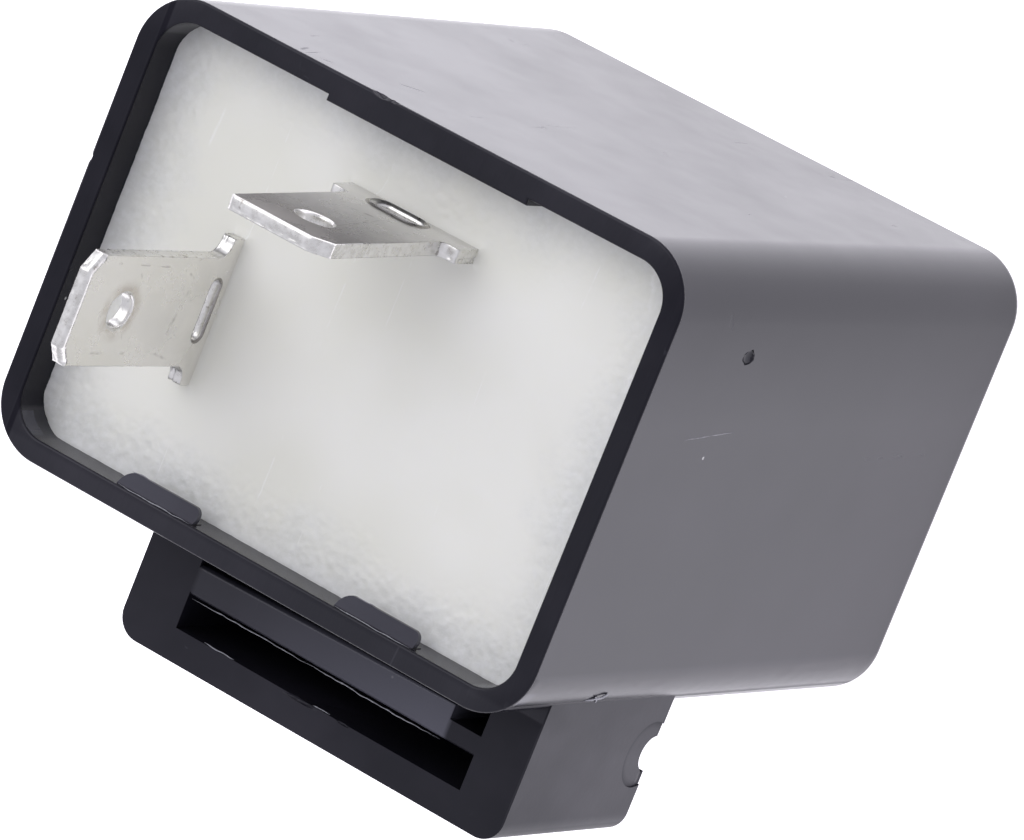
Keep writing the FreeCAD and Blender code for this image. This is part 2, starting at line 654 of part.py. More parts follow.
def solder_joints(metal):
    """Cones round every leg and lead, above the board, and round the tails below it."""
    cones = []
    spots = [(x, y, f"(solder_radius - pin_radius + {radius})", "copper") for x, y, radius in PINS]
    spots += [(x, y, f"(({size_x}^2 + {size_y}^2)^0.5/2 + solder_margin)", "copper")
              for x, y, size_x, size_y in LEGS]
    for x, y, foot, lift in spots:
        cone = new_part("Part::Cone", "solder_top", Radius1=foot, Radius2=f"{foot}*0.6",
                        Height="solder_rise")
        place(cone, x, y, f"board_top + {lift}")
        cones.append(cone)
    for x, y, size_x, size_y in TAILS:
        foot = f"(({size_x}^2 + {size_y}^2)^0.5/2 + solder_margin)"
        cone = new_part("Part::Cone", "solder_foot", Radius1=f"{foot}*0.6", Radius2=foot,
                        Height="solder_rise")
        place(cone, x, y, f"{BOARD_FOOT} - solder_rise")
        cones.append(cone)
    joints = doc.addObject("Part::Cut", "solder_joints")
    joints.Base = compound("solder_cones", cones)
    joints.Tool = compound("soldered_metal", metal)
    return as_node(joints, "solder_joints")


def potting_resin(embedded):
    """The resin fills the case from the board to its level, round all that stands in it."""
    half_x, half_y = "(case_length/2 - wall*0.85)", "(case_width/2 - wall*0.85)"
    block = new_part("Part::Box", "resin_block", Length=f"2*{half_x}", Width=f"2*{half_y}",
                     Height=f"{RESIN_TOP} - board_top")
    place(block, f"-{half_x}", f"-{half_y}", "board_top")
    surroundings = doc.addObject("Part::MultiFuse", "embedded")
    surroundings.Shapes = embedded
    resin = doc.addObject("Part::Cut", "potting_resin")
    resin.Base = block
    resin.Tool = surroundings
    return as_node(resin, "potting_resin")


# The magnet -----------------------------------------------------------------------------------


def relay_yoke():
    """Bent steel: a plate under the board, an arm at -X with guide horns, legs, a spring tab."""
    body = new_body("relay_yoke")
    profile = new_sketch(body, "XZ_Plane")
    polygon(profile, [("yoke_left", "arm_end"), ("yoke_left + yoke_thickness", "arm_end"),
                      ("yoke_left + yoke_thickness", "yoke_top - yoke_thickness"),
                      ("yoke_right", "yoke_top - yoke_thickness"), ("yoke_right", "yoke_top"),
                      ("yoke_left", "yoke_top")])
    pad(body, profile, "yoke_width", symmetric=True)
    core_hole = new_sketch(body, "XY_Plane", "yoke_top")
    circle(core_hole, "coil_x", "0", "tenon_radius")
    pocket(body, core_hole, "yoke_thickness")

    legs = new_sketch(body, "XY_Plane", "yoke_top - yoke_thickness/2")
    for x, y, size_x, size_y in LEGS[:3]:
        rectangle(legs, f"{x} - {size_x}/2", f"{x} + {size_x}/2",
                  f"{y} - {size_y}/2", f"{y} + {size_y}/2")
    pad(body, legs, f"{LEAD_TOP} - yoke_top + yoke_thickness/2")

    horns = new_sketch(body, "XY_Plane", "arm_end + horn_width")
    for low, high in (("-yoke_width/2", "-yoke_width/2 + horn_width"),
                      ("yoke_width/2 - horn_width", "yoke_width/2")):
        rectangle(horns, "yoke_left", "yoke_left + yoke_thickness", low, high)
    pad(body, horns, "horn_drop + horn_width", backwards=True)

    tab = new_sketch(body, "XY_Plane", "hook_tab_top")
    rectangle(tab, "yoke_left - hook_tab_reach", "yoke_left + yoke_thickness/2",
              "-leg_width/2", "leg_width/2")
    pad(body, tab, "hook_tab_thickness", backwards=True)
    eye = new_sketch(body, "XY_Plane", "hook_tab_top")
    circle(eye, "spring_x", "0", "spring_wire + spring_eye")
    pocket(body, eye, "hook_tab_thickness")


def turned(label, x, y, z, outline):
    """A body of revolution about Z through x, y, with its outline as radius and height pairs."""
    body = new_body(label, x, y, z)
    sketch = new_sketch(body, "XZ_Plane")
    polygon(sketch, outline)
    revolve(body, sketch)
    return body


YOKE_FOOT = "(yoke_top - yoke_thickness)"
POLE_BACK = "(pole_face + pole_thickness)"


def coil_core():
    turned("coil_core", "coil_x", "0", "0", [
        ("0", "pole_face"), ("pole_radius", "pole_face"), ("pole_radius", POLE_BACK),
        ("core_radius", POLE_BACK), ("core_radius", YOKE_FOOT), ("tenon_radius", YOKE_FOOT),
        ("tenon_radius", "yoke_top"), ("rivet_radius", "yoke_top"),
        ("rivet_radius - rivet_rise", "yoke_top + rivet_rise"), ("0", "yoke_top + rivet_rise")])


def coil_bobbin():
    """Tube with two flanges; a block on either side of the upper one holds a pin."""
    bore = "core_radius + bobbin_play"
    tube = f"({bore} + bobbin_wall)"
    body = turned("coil_bobbin", "coil_x", "0", "0", [
        (bore, POLE_BACK), ("bobbin_radius", POLE_BACK), ("bobbin_radius", f"{POLE_BACK} + flange"),
        (tube, f"{POLE_BACK} + flange"), (tube, f"{YOKE_FOOT} - flange"),
        ("bobbin_radius", f"{YOKE_FOOT} - flange"), ("bobbin_radius", YOKE_FOOT),
        (bore, YOKE_FOOT)])
    blocks = new_sketch(body, "XY_Plane", YOKE_FOOT)
    for side in ("-", ""):
        ends = sorted((f"{side}(pin_spread + pin_block/2)", f"{side}(pin_spread - pin_block)"),
                      key=value)
        rectangle(blocks, "pin_shift - pin_block/2", "pin_shift + pin_block/2", ends[0], ends[1])
    pad(body, blocks, "flange", backwards=True)
    sockets = new_sketch(body, "XY_Plane", YOKE_FOOT)
    for side in ("-", ""):
        circle(sockets, "pin_shift", f"{side}pin_spread", "pin_radius")
    pocket(body, sockets, "flange")


def coil_winding():
    tube = "(core_radius + bobbin_play + bobbin_wall)"
    turned("coil_winding", "coil_x", "0", "0", [
        (tube, f"{POLE_BACK} + flange"), ("winding_radius", f"{POLE_BACK} + flange"),
        ("winding_radius", f"{YOKE_FOOT} - flange"), (tube, f"{YOKE_FOOT} - flange")])


def rods(label, leads, low, high):
    """Upright round leads as one node of separate solids."""
    items = []
    for x, y, radius in leads:
        rod = new_part("Part::Cylinder", f"{label}_rod", Radius=radius, Height=f"{high} - {low}")
        place(rod, x, y, low)
        items.append(rod)
    return as_node(compound(label, items), label)


def wire_through(points, radius):
    """Solid wire through points: straight runs with a ball at each turn."""
    solids = []
    for start, end in zip(points, points[1:]):
        run = end - start
        solids.append(Part.makeCylinder(radius, run.Length, start, run))
    for corner in points[1:-1]:
        solids.append(Part.makeSphere(radius, corner))
    return solids[0].fuse(solids[1:]).removeSplitter() if len(solids) > 1 else solids[0]


def shape_node(label, solids):
    """A node whose solids are worked out here from the sheet."""
    item = doc.addObject("Part::Feature", label)
    item.Shape = solids[0] if len(solids) == 1 else Part.makeCompound(solids)
    return as_node(item, label)


def coil_wires():
    """Each end of the winding runs out under the flange to its pin and up along it."""
    radius = value("coil_wire")
    pin_x, pin_y = value("coil_x + pin_shift"), value("pin_spread")
    turn_radius = value("pin_radius") + radius
    height = value(f"{YOKE_FOOT} - flange") - 2.5 * radius
    edge = math.sqrt(value("winding_radius")**2 - (value("pin_shift") + turn_radius)**2) + radius / 4
    ends = []
    for side in (-1, 1):
        start = FreeCAD.Vector(pin_x + turn_radius, side * edge, height - 3 * radius)
        stop = FreeCAD.Vector(pin_x + turn_radius, side * (pin_y - radius), height - 3 * radius)
        rise = stop + FreeCAD.Vector(0, 0, 2 * radius)
        ends.append(wire_through([start, stop, rise], radius))
    return shape_node("coil_wires", ends)


# The armature and the contacts ----------------------------------------------------------------

ARMATURE_TOP = "(arm_end - armature_gap)"
ARMATURE_FOOT = f"({ARMATURE_TOP} - armature_thickness)"
LEAF_FOOT = f"({ARMATURE_FOOT} - leaf_thickness)"
MOVING_FACE = f"({LEAF_FOOT} - contact_rise)"
FIXED_FACE = f"({MOVING_FACE} - contact_gap)"
BRACKET_TOP = f"({FIXED_FACE} - contact_rise)"
BRACKET_FOOT = f"({BRACKET_TOP} - bracket_thickness)"


def armature():
    """Steel plate under the arm's end: a neck between the horns and a tail for the spring."""
    body = new_body("armature")
    outline = new_sketch(body, "XY_Plane", ARMATURE_FOOT)
    neck_start = "(yoke_left - neck_play)"
    neck_end = "(yoke_left + yoke_thickness + neck_play)"
    half = [("armature_tail", "tail_plate_width/2"), (neck_start, "tail_plate_width/2"),
            (neck_start, "neck_width/2"), (neck_end, "neck_width/2"),
            (neck_end, "armature_width/2"), ("armature_tip", "armature_width/2")]
    polygon(outline, [(x, f"-{y}") for x, y in half] + list(reversed(half)))
    pad(body, outline, "armature_thickness")
    holes = new_sketch(body, "XY_Plane", ARMATURE_TOP)
    circle(holes, "spring_x", "0", "spring_wire + spring_eye")
    for x in ("leaf_rivet_near", "leaf_rivet_far"):
        circle(holes, x, "0", "leaf_rivet_radius")
    pocket(body, holes, "armature_thickness")


def contact_leaf():
    body = new_body("contact_leaf")
    outline = new_sketch(body, "XY_Plane", LEAF_FOOT)
    rectangle(outline, "leaf_root", "leaf_tip", "-leaf_width/2", "leaf_width/2")
    pad(body, outline, "leaf_thickness")
    tip = value("leaf_tip")
    fillet(body, "leaf_round", lambda edge: upright_edge(edge) and near(middle(edge).x, tip))
    holes = new_sketch(body, "XY_Plane", ARMATURE_FOOT)
    circle(holes, "contact_x", "0", "contact_shank")
    for x in ("leaf_rivet_near", "leaf_rivet_far"):
        circle(holes, x, "0", "leaf_rivet_radius")
    pocket(body, holes, "leaf_thickness")


def leaf_rivets():
    """Two rivets, flush on the armature's upper side, headed under the leaf."""
    rivets = []
    for x in ("leaf_rivet_near", "leaf_rivet_far"):
        shank = new_part("Part::Cylinder", "rivet_shank", Radius="leaf_rivet_radius",
                         Height="armature_thickness + leaf_thickness")
        place(shank, x, "0", LEAF_FOOT)
        head = new_part("Part::Cone", "rivet_head", Radius1="leaf_rivet_radius",
                        Radius2="leaf_rivet_radius*1.8", Height="leaf_rivet_head")
        place(head, x, "0", f"{LEAF_FOOT} - leaf_rivet_head")
        rivet = doc.addObject("Part::Fuse", "rivet")
        rivet.Base = shank
        rivet.Tool = head
        rivets.append(rivet)
    as_node(compound("leaf_rivets", rivets), "leaf_rivets")


def contact(label, face, back, direction):
    """A silver rivet: its working face, its shank and the head formed behind its carrier."""
    sign = "+" if direction > 0 else "-"
    edge = "contact_radius - contact_rise/4"
    turned(label, "contact_x", "0", "0", [
        ("0", face), (edge, face), ("contact_radius", f"{face} {sign} contact_rise/4"),
        ("contact_radius", f"{face} {sign} contact_rise"),
        ("contact_shank", f"{face} {sign} contact_rise"), ("contact_shank", back),
        ("contact_shank*1.5", back), ("contact_shank*1.3", f"{back} {sign} contact_head"),
        ("0", f"{back} {sign} contact_head")])


def contact_bracket():
    """Brass strip down from the board, bent under the leaf to carry the fixed contact."""
    body = new_body("contact_bracket")
    profile = new_sketch(body, "XZ_Plane")
    outer = "(bracket_x + bracket_thickness)"
    polygon(profile, [("bracket_end", BRACKET_FOOT), (outer, BRACKET_FOOT), (outer, BOARD_FOOT),
                      ("bracket_x", BOARD_FOOT), ("bracket_x", BRACKET_TOP),
                      ("bracket_end", BRACKET_TOP)])
    pad(body, profile, "bracket_width", symmetric=True)
    inner_x, inner_z = value("bracket_x"), value(BRACKET_TOP)
    outer_x, outer_z = value(outer), value(BRACKET_FOOT)
    fillet(body, "bracket_bend", lambda edge: near(middle(edge).x, inner_x)
           and near(middle(edge).z, inner_z))
    fillet(body, "bracket_bend + bracket_thickness", lambda edge: near(middle(edge).x, outer_x)
           and near(middle(edge).z, outer_z))
    leg = new_sketch(body, "XY_Plane", f"{BOARD_FOOT} - bracket_thickness")
    rectangle(leg, "bracket_x", outer, "-bracket_leg/2", "bracket_leg/2")
    pad(body, leg, f"{LEAD_TOP} - {BOARD_FOOT} + bracket_thickness")
    hole = new_sketch(body, "XY_Plane", BRACKET_TOP)
    circle(hole, "contact_x", "0", "contact_shank")
    pocket(body, hole, "bracket_thickness")


def return_spring():
    """Close-wound extension spring; each end passes through an eye and bends over behind it."""
    wire, radius = value("spring_wire"), value("spring_radius")
    x = value("spring_x")
    low = value(f"{ARMATURE_TOP} + spring_stand")
    high = value("hook_tab_top - hook_tab_thickness - spring_stand")
    turns = value("spring_turns")
    helix = Part.makeHelix((high - low) / turns, high - low, radius)
    helix.translate(FreeCAD.Vector(x, 0, low))
    climb = FreeCAD.Vector(0, 1, (high - low) / turns / (2 * math.pi * radius))
    section = Part.Wire(Part.makeCircle(wire, FreeCAD.Vector(x + radius, 0, low), climb))
    coil = Part.Wire(helix.Edges).makePipeShell([section], True, True)
    ends = []
    for start, eye in ((low, value(ARMATURE_FOOT)), (high, value("hook_tab_top"))):
        outward = math.copysign(value("spring_hook"), eye - start)
        points = [FreeCAD.Vector(x + radius, 0, start), FreeCAD.Vector(x, 0, start),
                  FreeCAD.Vector(x, 0, eye + outward),
                  FreeCAD.Vector(x - radius, 0, eye + outward)]
        ends.append(wire_through(points, wire))
        ends.append(Part.makeSphere(wire, points[0]))
    return shape_node("return_spring", [coil.fuse(ends)])


# Capacitor and resistor -----------------------------------------------------------------------


def groove(radius, depth):
    """The rolled groove's three corners, from below upwards, at a wall of this radius."""
    return [(radius, "-cap_groove - cap_roll"), (f"{radius} - {depth}", "-cap_groove"),
            (radius, "-cap_groove + cap_roll")]


def capacitor():
    """Can with its crimped mouth up against the board, sleeve, wound element, bung and leads."""
    bore = "(cap_radius - cap_wall)"
    turned("capacitor_can", "cap_x", "0", "cap_top", [
        ("0", "-cap_length"), ("cap_radius", "-cap_length"), *groove("cap_radius", "cap_roll"),
        ("cap_radius", "0"), ("cap_radius - cap_crimp", "0"),
        ("cap_radius - cap_crimp", "-cap_wall"), (bore, "-cap_wall"),
        *reversed(groove(bore, "cap_roll")), (bore, "-cap_length + cap_wall"),
        ("0", "-cap_length + cap_wall")])
    lip = "cap_radius - sleeve_lip"
    turned("capacitor_sleeve", "cap_x", "0", "cap_top", [
        (lip, "0"), ("cap_radius", "0"), ("cap_radius", "-cap_length"), (lip, "-cap_length"),
        (lip, "-cap_length - sleeve_thickness"),
        ("cap_radius + sleeve_thickness", "-cap_length - sleeve_thickness"),
        ("cap_radius + sleeve_thickness", "sleeve_thickness"), (lip, "sleeve_thickness")])
    turned("capacitor_element", "cap_x", "0", "cap_top", [
        ("0", "-bung_height - element_length"), (f"{bore} - 0.15", "-bung_height - element_length"),
        (f"{bore} - 0.15", "-bung_height"), ("0", "-bung_height")])
    bung = turned("capacitor_bung", "cap_x", "0", "cap_top", [
        ("0", "-bung_height"), (bore, "-bung_height"), *groove(bore, "cap_roll"),
        (bore, "-cap_wall"), ("0", "-cap_wall")])
    lead_holes = new_sketch(bung, "XY_Plane", "-cap_wall")
    for side in ("-", ""):
        circle(lead_holes, "0", f"{side}cap_pitch/2", "cap_lead")
    pocket(bung, lead_holes, "bung_height - cap_wall")
    rods("capacitor_leads", CAP_LEADS, "(cap_top - bung_height)", LEAD_TOP)


def resistor():
    """Ceramic rod with end caps, laid along X; each lead bends up through the board."""
    half, waist = "resistor_length/2", "(resistor_radius - resistor_waist)"
    outline = [("resistor_radius", f"-{half}"), ("resistor_radius", f"-{half} + resistor_cap"),
               (waist, f"-{half} + resistor_cap + resistor_waist"),
               (waist, f"{half} - resistor_cap - resistor_waist"),
               ("resistor_radius", f"{half} - resistor_cap"), ("resistor_radius", half)]
    body = new_body("resistor_body", "0", "resistor_y", "resistor_z")
    sketch = new_sketch(body, "XZ_Plane")
    polygon(sketch, [("0", f"-{half}"), *outline, ("0", half)])
    revolve(body, sketch)
    body.Placement.Rotation = FreeCAD.Rotation(FreeCAD.Vector(0, 1, 0), 90)
    radius = value("resistor_lead")
    y, z, top = value("resistor_y"), value("resistor_z"), value(LEAD_TOP)
    leads = []
    for side in (-1, 1):
        bend = FreeCAD.Vector(side * value("resistor_span/2"), y, z)
        root = FreeCAD.Vector(side * value(half), y, z)
        leads.append(wire_through([root, bend, FreeCAD.Vector(bend.x, y, top)], radius))
    return shape_node("resistor_leads", leads)


# The whole relay ------------------------------------------------------------------------------


def write_parts():
    """Stop at any failed object, then write one file a node."""
    doc.recompute()
    for item in doc.Objects:
        if "Invalid" in item.State or "Error" in item.State:
            raise RuntimeError(f"{item.Name}: {item.State}")
    for node in nodes:
        if node.Shape.isNull() or not node.Shape.isValid() or not node.Shape.Solids:
            raise RuntimeError(f"{node.Label} is not a valid solid")
    os.makedirs("parts", exist_ok=True)
    for node in nodes:
        node.Shape.exportStep(f"parts/{node.Label}.step")


def main():
    case = housing()
    supply = terminal("supply_terminal", "YZ_Plane", "supply")
    lamp = terminal("lamp_terminal", "XZ_Plane", "lamp", "lamp_tilt")
    circuit_board()
    copper_tracks()
    relay_yoke()
    coil_core()
    coil_bobbin()
    rods("coil_pins", COIL_PINS, f"({YOKE_FOOT} - pin_stub)", LEAD_TOP)
    coil_winding()
    coil_wires()
    armature()
    contact_leaf()
    leaf_rivets()
    contact("moving_contact", MOVING_FACE, ARMATURE_FOOT, 1)
    contact("fixed_contact", FIXED_FACE, BRACKET_FOOT, -1)
    contact_bracket()
    return_spring()
    capacitor()
    resistor()
    by_label = {node.Label: node for node in nodes}
    metal = [supply, lamp] + [by_label[label] for label in (
        "relay_yoke", "contact_bracket", "coil_pins", "capacitor_leads", "resistor_leads")]
    solder = solder_joints(metal)
    potting_resin([case, solder, by_label["copper_tracks"], *metal])
    write_parts()


main()
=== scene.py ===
"""A two-terminal flasher relay in a potted black case, shown on a pale studio floor."""

import math

import bmesh
import bpy
from mathutils import Matrix, Vector, geometry, noise


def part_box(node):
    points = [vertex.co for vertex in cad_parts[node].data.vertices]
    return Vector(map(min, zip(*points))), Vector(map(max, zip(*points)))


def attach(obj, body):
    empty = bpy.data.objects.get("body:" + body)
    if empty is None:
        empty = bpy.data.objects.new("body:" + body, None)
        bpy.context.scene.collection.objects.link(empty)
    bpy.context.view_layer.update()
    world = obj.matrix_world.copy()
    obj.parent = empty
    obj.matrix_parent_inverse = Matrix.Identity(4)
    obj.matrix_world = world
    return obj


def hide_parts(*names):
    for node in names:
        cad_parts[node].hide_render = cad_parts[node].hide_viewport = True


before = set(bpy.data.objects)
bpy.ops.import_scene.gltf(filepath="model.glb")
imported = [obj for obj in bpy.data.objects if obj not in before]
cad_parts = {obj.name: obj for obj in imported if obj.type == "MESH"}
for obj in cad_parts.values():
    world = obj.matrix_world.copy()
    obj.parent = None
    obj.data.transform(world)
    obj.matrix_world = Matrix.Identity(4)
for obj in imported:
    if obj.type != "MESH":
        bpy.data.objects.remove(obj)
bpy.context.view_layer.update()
noise.seed_set(7)    # noise_vector shifts its noise by random offsets, which this fixes

# ---------------------------------------------------------------- sizes and places, in millimetres
MM = 0.001


def measure(node):
    """A CAD node's middle and its half sizes."""
    low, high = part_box(node)
    return (low + high) / 2 / MM, (high - low) / 2 / MM


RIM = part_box("housing")[1].z / MM
RESIN_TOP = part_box("potting_resin")[1].z / MM
RESIN_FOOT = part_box("circuit_board")[1].z / MM + 0.2    # just clear of the board
CAVITY = (16.83, 12.03)           # half sizes between the case's inner walls at the resin
CASE_BELOW = -13.3                # the case's -Y face, where the loop joins it
LOOP_SIDE = 17.15                 # the loop's +X face
GATE = (-15.6, 21.05)             # y and z of the shallow ring round the gate mark
SUPPLY, SUPPLY_HALF = measure("supply_terminal")
SUPPLY_TIP = SUPPLY.z + SUPPLY_HALF.z
TAIL_END = SUPPLY.z - SUPPLY_HALF.z
HALF_PLATE = SUPPLY_HALF.x
HALF_EAR = SUPPLY_HALF.y
HALF_BLADE = 3.15
LAMP_X = measure("lamp_terminal")[0].x
LAMP_Y = 7.55                     # the lamp tab's middle where it leaves the resin
LAMP_LEAN = math.radians(2.0)


# ---------------------------------------------------------------- materials
class Look:
    """A procedural material on the object's own coordinates, which are in metres."""

    def __init__(self, name, colour, rough, metal=0.0):
        self.material = bpy.data.materials.new(name)
        self.material.use_nodes = True
        self.material.diffuse_color = (*colour, 1)
        self.nodes, self.links = self.material.node_tree.nodes, self.material.node_tree.links
        self.shader = self.nodes["Principled BSDF"]
        self.set("Base Color", (*colour, 1))
        self.set("Roughness", rough)
        self.set("Metallic", metal)
        self.place = self.nodes.new("ShaderNodeTexCoord").outputs["Object"]
        self.height = None

    def set(self, socket, value):
        """A constant or another node's output on one of the shader's sockets."""
        if isinstance(value, bpy.types.NodeSocket):
            self.links.new(value, self.shader.inputs[socket])
        else:
            self.shader.inputs[socket].default_value = value

    def node(self, kind, inputs, output=0, **settings):
        """One node with its inputs filled in; returns one of its outputs."""
        made = self.nodes.new(kind)
        for key, value in settings.items():
            setattr(made, key, value)
        for key, value in inputs.items():
            if isinstance(value, bpy.types.NodeSocket):
                self.links.new(value, made.inputs[key])
            else:
                made.inputs[key].default_value = value
        return made.outputs[output]

    def math(self, operation, first, second=0.0):
        return self.node("ShaderNodeMath", {0: first, 1: second}, operation=operation)

    def product(self, first, *others):
        for other in others:
            first = self.math("MULTIPLY", first, other)
        return first

    def largest(self, first, *others):
        for other in others:
            first = self.math("MAXIMUM", first, other)
        return first

    def stretched(self, x, y, z):
        return self.node("ShaderNodeMapping", {"Vector": self.place, "Scale": (x, y, z)})

    def noise(self, scale, detail=3.0, where=None):
        return self.node("ShaderNodeTexNoise", {"Vector": where or self.place, "Scale": scale,
                                                "Detail": detail, "Roughness": 0.6})

    def span(self, value, low, high, to_low, to_high):
        """value's run from low to high, clamped and carried to another run."""
        return self.node("ShaderNodeMapRange", {"Value": value, "From Min": low, "From Max": high,
                                                "To Min": to_low, "To Max": to_high})

    def rise(self, value, start, end):
        """0 before start and 1 past end."""
        return self.span(value, start, end, 0.0, 1.0)

    def fall(self, value, start, end):
        """1 before start and 0 past end."""
        return self.span(value, start, end, 1.0, 0.0)

    def band(self, value, low, high, soft):
        """1 from low to high and 0 outside, with soft edges inside the band."""
        return self.product(self.rise(value, low, low + soft), self.fall(value, high - soft, high))

    def coordinate(self, axis):
        """Millimetres along one of the object's axes."""
        metres = self.node("ShaderNodeSeparateXYZ", {"Vector": self.place}, output=axis)
        return self.math("DIVIDE", metres, MM)

    def mix(self, factor, first, second):
        inputs = {"Factor": factor, 6: first, 7: second}
        return self.node("ShaderNodeMix", inputs, output=2, data_type="RGBA")

    def scratches(self, scale, where, width, cover):
        """Thin straight scores where `where` stretches the cells' edges, over part of the surface."""
        cells = self.node("ShaderNodeTexVoronoi", {"Vector": where, "Scale": scale},
                          feature="DISTANCE_TO_EDGE")
        patch = self.rise(self.noise(scale * 1.7), cover, cover + 0.08)
        return self.product(self.fall(cells, 0.0, width), patch)

    def relief(self, value, depth):
        """Adds value times depth, in millimetres, to the surface's fine relief."""
        step = self.math("MULTIPLY", value, depth)
        self.height = step if self.height is None else self.math("ADD", self.height, step)

    def done(self):
        if self.height is not None:
            bump = self.node("ShaderNodeBump", {"Height": self.height, "Distance": MM, "Strength": 1.0})
            self.links.new(bump, self.shader.inputs["Normal"])
        return self.material


def case_regions(look, x, y, z):
    """Masks for the case's loop, loop side, grip bar and cut rim, and a weaker one for its lugs that only
    paints light on the lugs' faces.
    """
    beside = look.math("ABSOLUTE", look.math("SUBTRACT", x, LOOP_SIDE))
    side = look.product(look.fall(beside, 0.10, 0.14), look.fall(y, -12.2, -11.8))
    loop = look.largest(look.fall(y, CASE_BELOW - 0.15, CASE_BELOW), side)
    bar = look.product(look.band(y, -16.75, -14.75, 0.05), look.band(x, -5.5, 12.1, 0.3))
    rim = look.rise(z, RIM - 0.15, RIM - 0.10)
    lug = look.product(look.span(z, RIM - 0.17, RIM - 0.13, 0.4, 0.0), look.rise(z, 36.7, 36.8),
                       look.rise(y, -11.95, -11.9), look.fall(y, -11.1, -11.0))
    return loop, side, bar, rim, lug


def case_sheen(look, x, y, z, cloud, loop, side, bar, rim):
    """The case's gloss: weaker on cut and matte skin. Painted reflection strengthens it on the rim's -Y
    side and on the loop's side; painted shade dims it on the +X face's upper band and near its closed end,
    on the inner -X wall, on the rim's -X side and in a ring round the gate mark.
    """
    matte = look.math("SUBTRACT", loop, look.product(bar, 0.7))
    dull = look.product(look.largest(matte, rim), look.span(cloud, 0.35, 0.65, 1.1, 0.75))
    sheen = look.span(dull, 0.0, 1.0, 0.5, 0.29)
    # Painted reflection: a stronger sheen on the rim's -Y side and, mottled, on the loop's side.
    rim_minus_y_painted_reflection = look.product(rim, look.span(y, -12.4, -12.1, 0.4, 0.0))
    side_painted_reflection = look.product(side, look.span(cloud, 0.36, 0.62, 0.3, 0.75))
    sheen = look.product(sheen, look.math("ADD", 1.0, look.largest(rim_minus_y_painted_reflection, side_painted_reflection)))
    # Painted shade: the sheen is dimmed on the +X face's upper band and near its closed end, on the inner
    # -X wall, on the rim's -X side and in a ring round the gate mark.
    on_right = look.rise(x, 15.0, 17.2)
    upper = look.product(look.span(y, 4.0, 9.8, 0.12, 0.5), on_right)
    closed_end = look.product(look.span(z, 0.0, 4.0, 0.25, 0.0), on_right)
    left_wall = look.product(look.span(x, -16.6, -16.5, 0.7, 0.0), look.rise(x, -16.95, -16.85))
    rim_left = look.product(rim, look.span(x, -17.0, -16.8, 0.33, 0.0))
    across, along = look.math("SUBTRACT", y, GATE[0]), look.math("SUBTRACT", z, GATE[1])
    reach = look.math("ADD", look.product(across, across), look.product(along, along))
    reach = look.math("POWER", reach, 0.5)
    gate_ring = look.product(look.span(reach, 1.45, 1.85, 0.0, 0.55), look.fall(reach, 1.92, 1.99), side)
    sheen_painted_shade = look.largest(upper, closed_end, left_wall, rim_left, gate_ring)
    return matte, look.product(sheen, look.math("SUBTRACT", 1.0, sheen_painted_shade))


def black_plastic():
    """Moulded black nylon: glossy walls, a rough cut rim, a matte loop with a glossier bar, and painted
    light on the bar's face and the lugs.
    """
    look = Look("housing_plastic", (0.008, 0.008, 0.011), 0.3)
    x, y, z = (look.coordinate(axis) for axis in range(3))
    loop, side, bar, rim, lug = case_regions(look, x, y, z)
    mottle = look.noise(160, 3)
    cloud = look.noise(75, 4, look.stretched(1.0, 1.0, 0.6))
    fine = look.noise(2600, 2)
    scuffs = look.scratches(150, look.stretched(1.0, 0.35, 0.16), 0.007, 0.62)
    marks = look.scratches(520, look.stretched(0.3, 1.0, 0.5), 0.015, 0.66)
    matte, sheen = case_sheen(look, x, y, z, cloud, loop, side, bar, rim)
    look.set("Specular IOR Level", sheen)
    look.set("Specular Tint", (0.93, 0.92, 1.0, 1))

    rough = look.span(mottle, 0.35, 0.7, 0.22, 0.27)
    for region, extra in ((matte, 0.25), (rim, 0.1), (scuffs, 0.2)):
        rough = look.math("ADD", rough, look.product(region, extra))
    look.set("Roughness", rough)

    black, soot = (0.006, 0.006, 0.010, 1), (0.012, 0.011, 0.017, 1)
    shade = look.mix(look.rise(cloud, 0.4, 0.65), black, soot)
    # Painted light: the grip bar's face is lightened towards a grey, more towards +X, and the lugs' faces
    # are lightened a little.
    bar_painted_light = look.product(bar, look.span(x, -3.0, 10.5, 0.1, 0.9))
    shade = look.mix(look.largest(bar_painted_light, lug), shade, (0.085, 0.085, 0.108, 1))
    worn = look.product(look.largest(scuffs, marks), 0.16)
    shade = look.mix(worn, shade, (0.10, 0.10, 0.12, 1))
    specks = look.node("ShaderNodeTexVoronoi", {"Vector": look.place, "Scale": 330.0})
    dust = look.product(look.fall(specks, 0.02, 0.04), look.rise(look.noise(90, 2), 0.55, 0.6), 0.7)
    look.set("Base Color", look.mix(dust, shade, (0.5, 0.5, 0.5, 1)))

    look.relief(mottle, 0.004)
    look.relief(cloud, 0.02)
    look.relief(fine, look.math("ADD", look.product(loop, 0.005), 0.0005))
    look.relief(look.math("ADD", scuffs, marks), -0.006)
    cuts = look.noise(900, 3, look.stretched(1.6, 0.3, 1.0))
    look.relief(look.product(cuts, rim), 0.05)
    return look.done()


def flash_plastic():
    """Thin torn skin of the same plastic, coloured a lighter grey than the case."""
    look = Look("housing_plastic_flash", (0.26, 0.26, 0.29), 0.35)
    look.set("Roughness", look.span(look.noise(3000), 0.35, 0.65, 0.25, 0.6))
    look.relief(look.noise(5000), 0.01)
    return look.done()


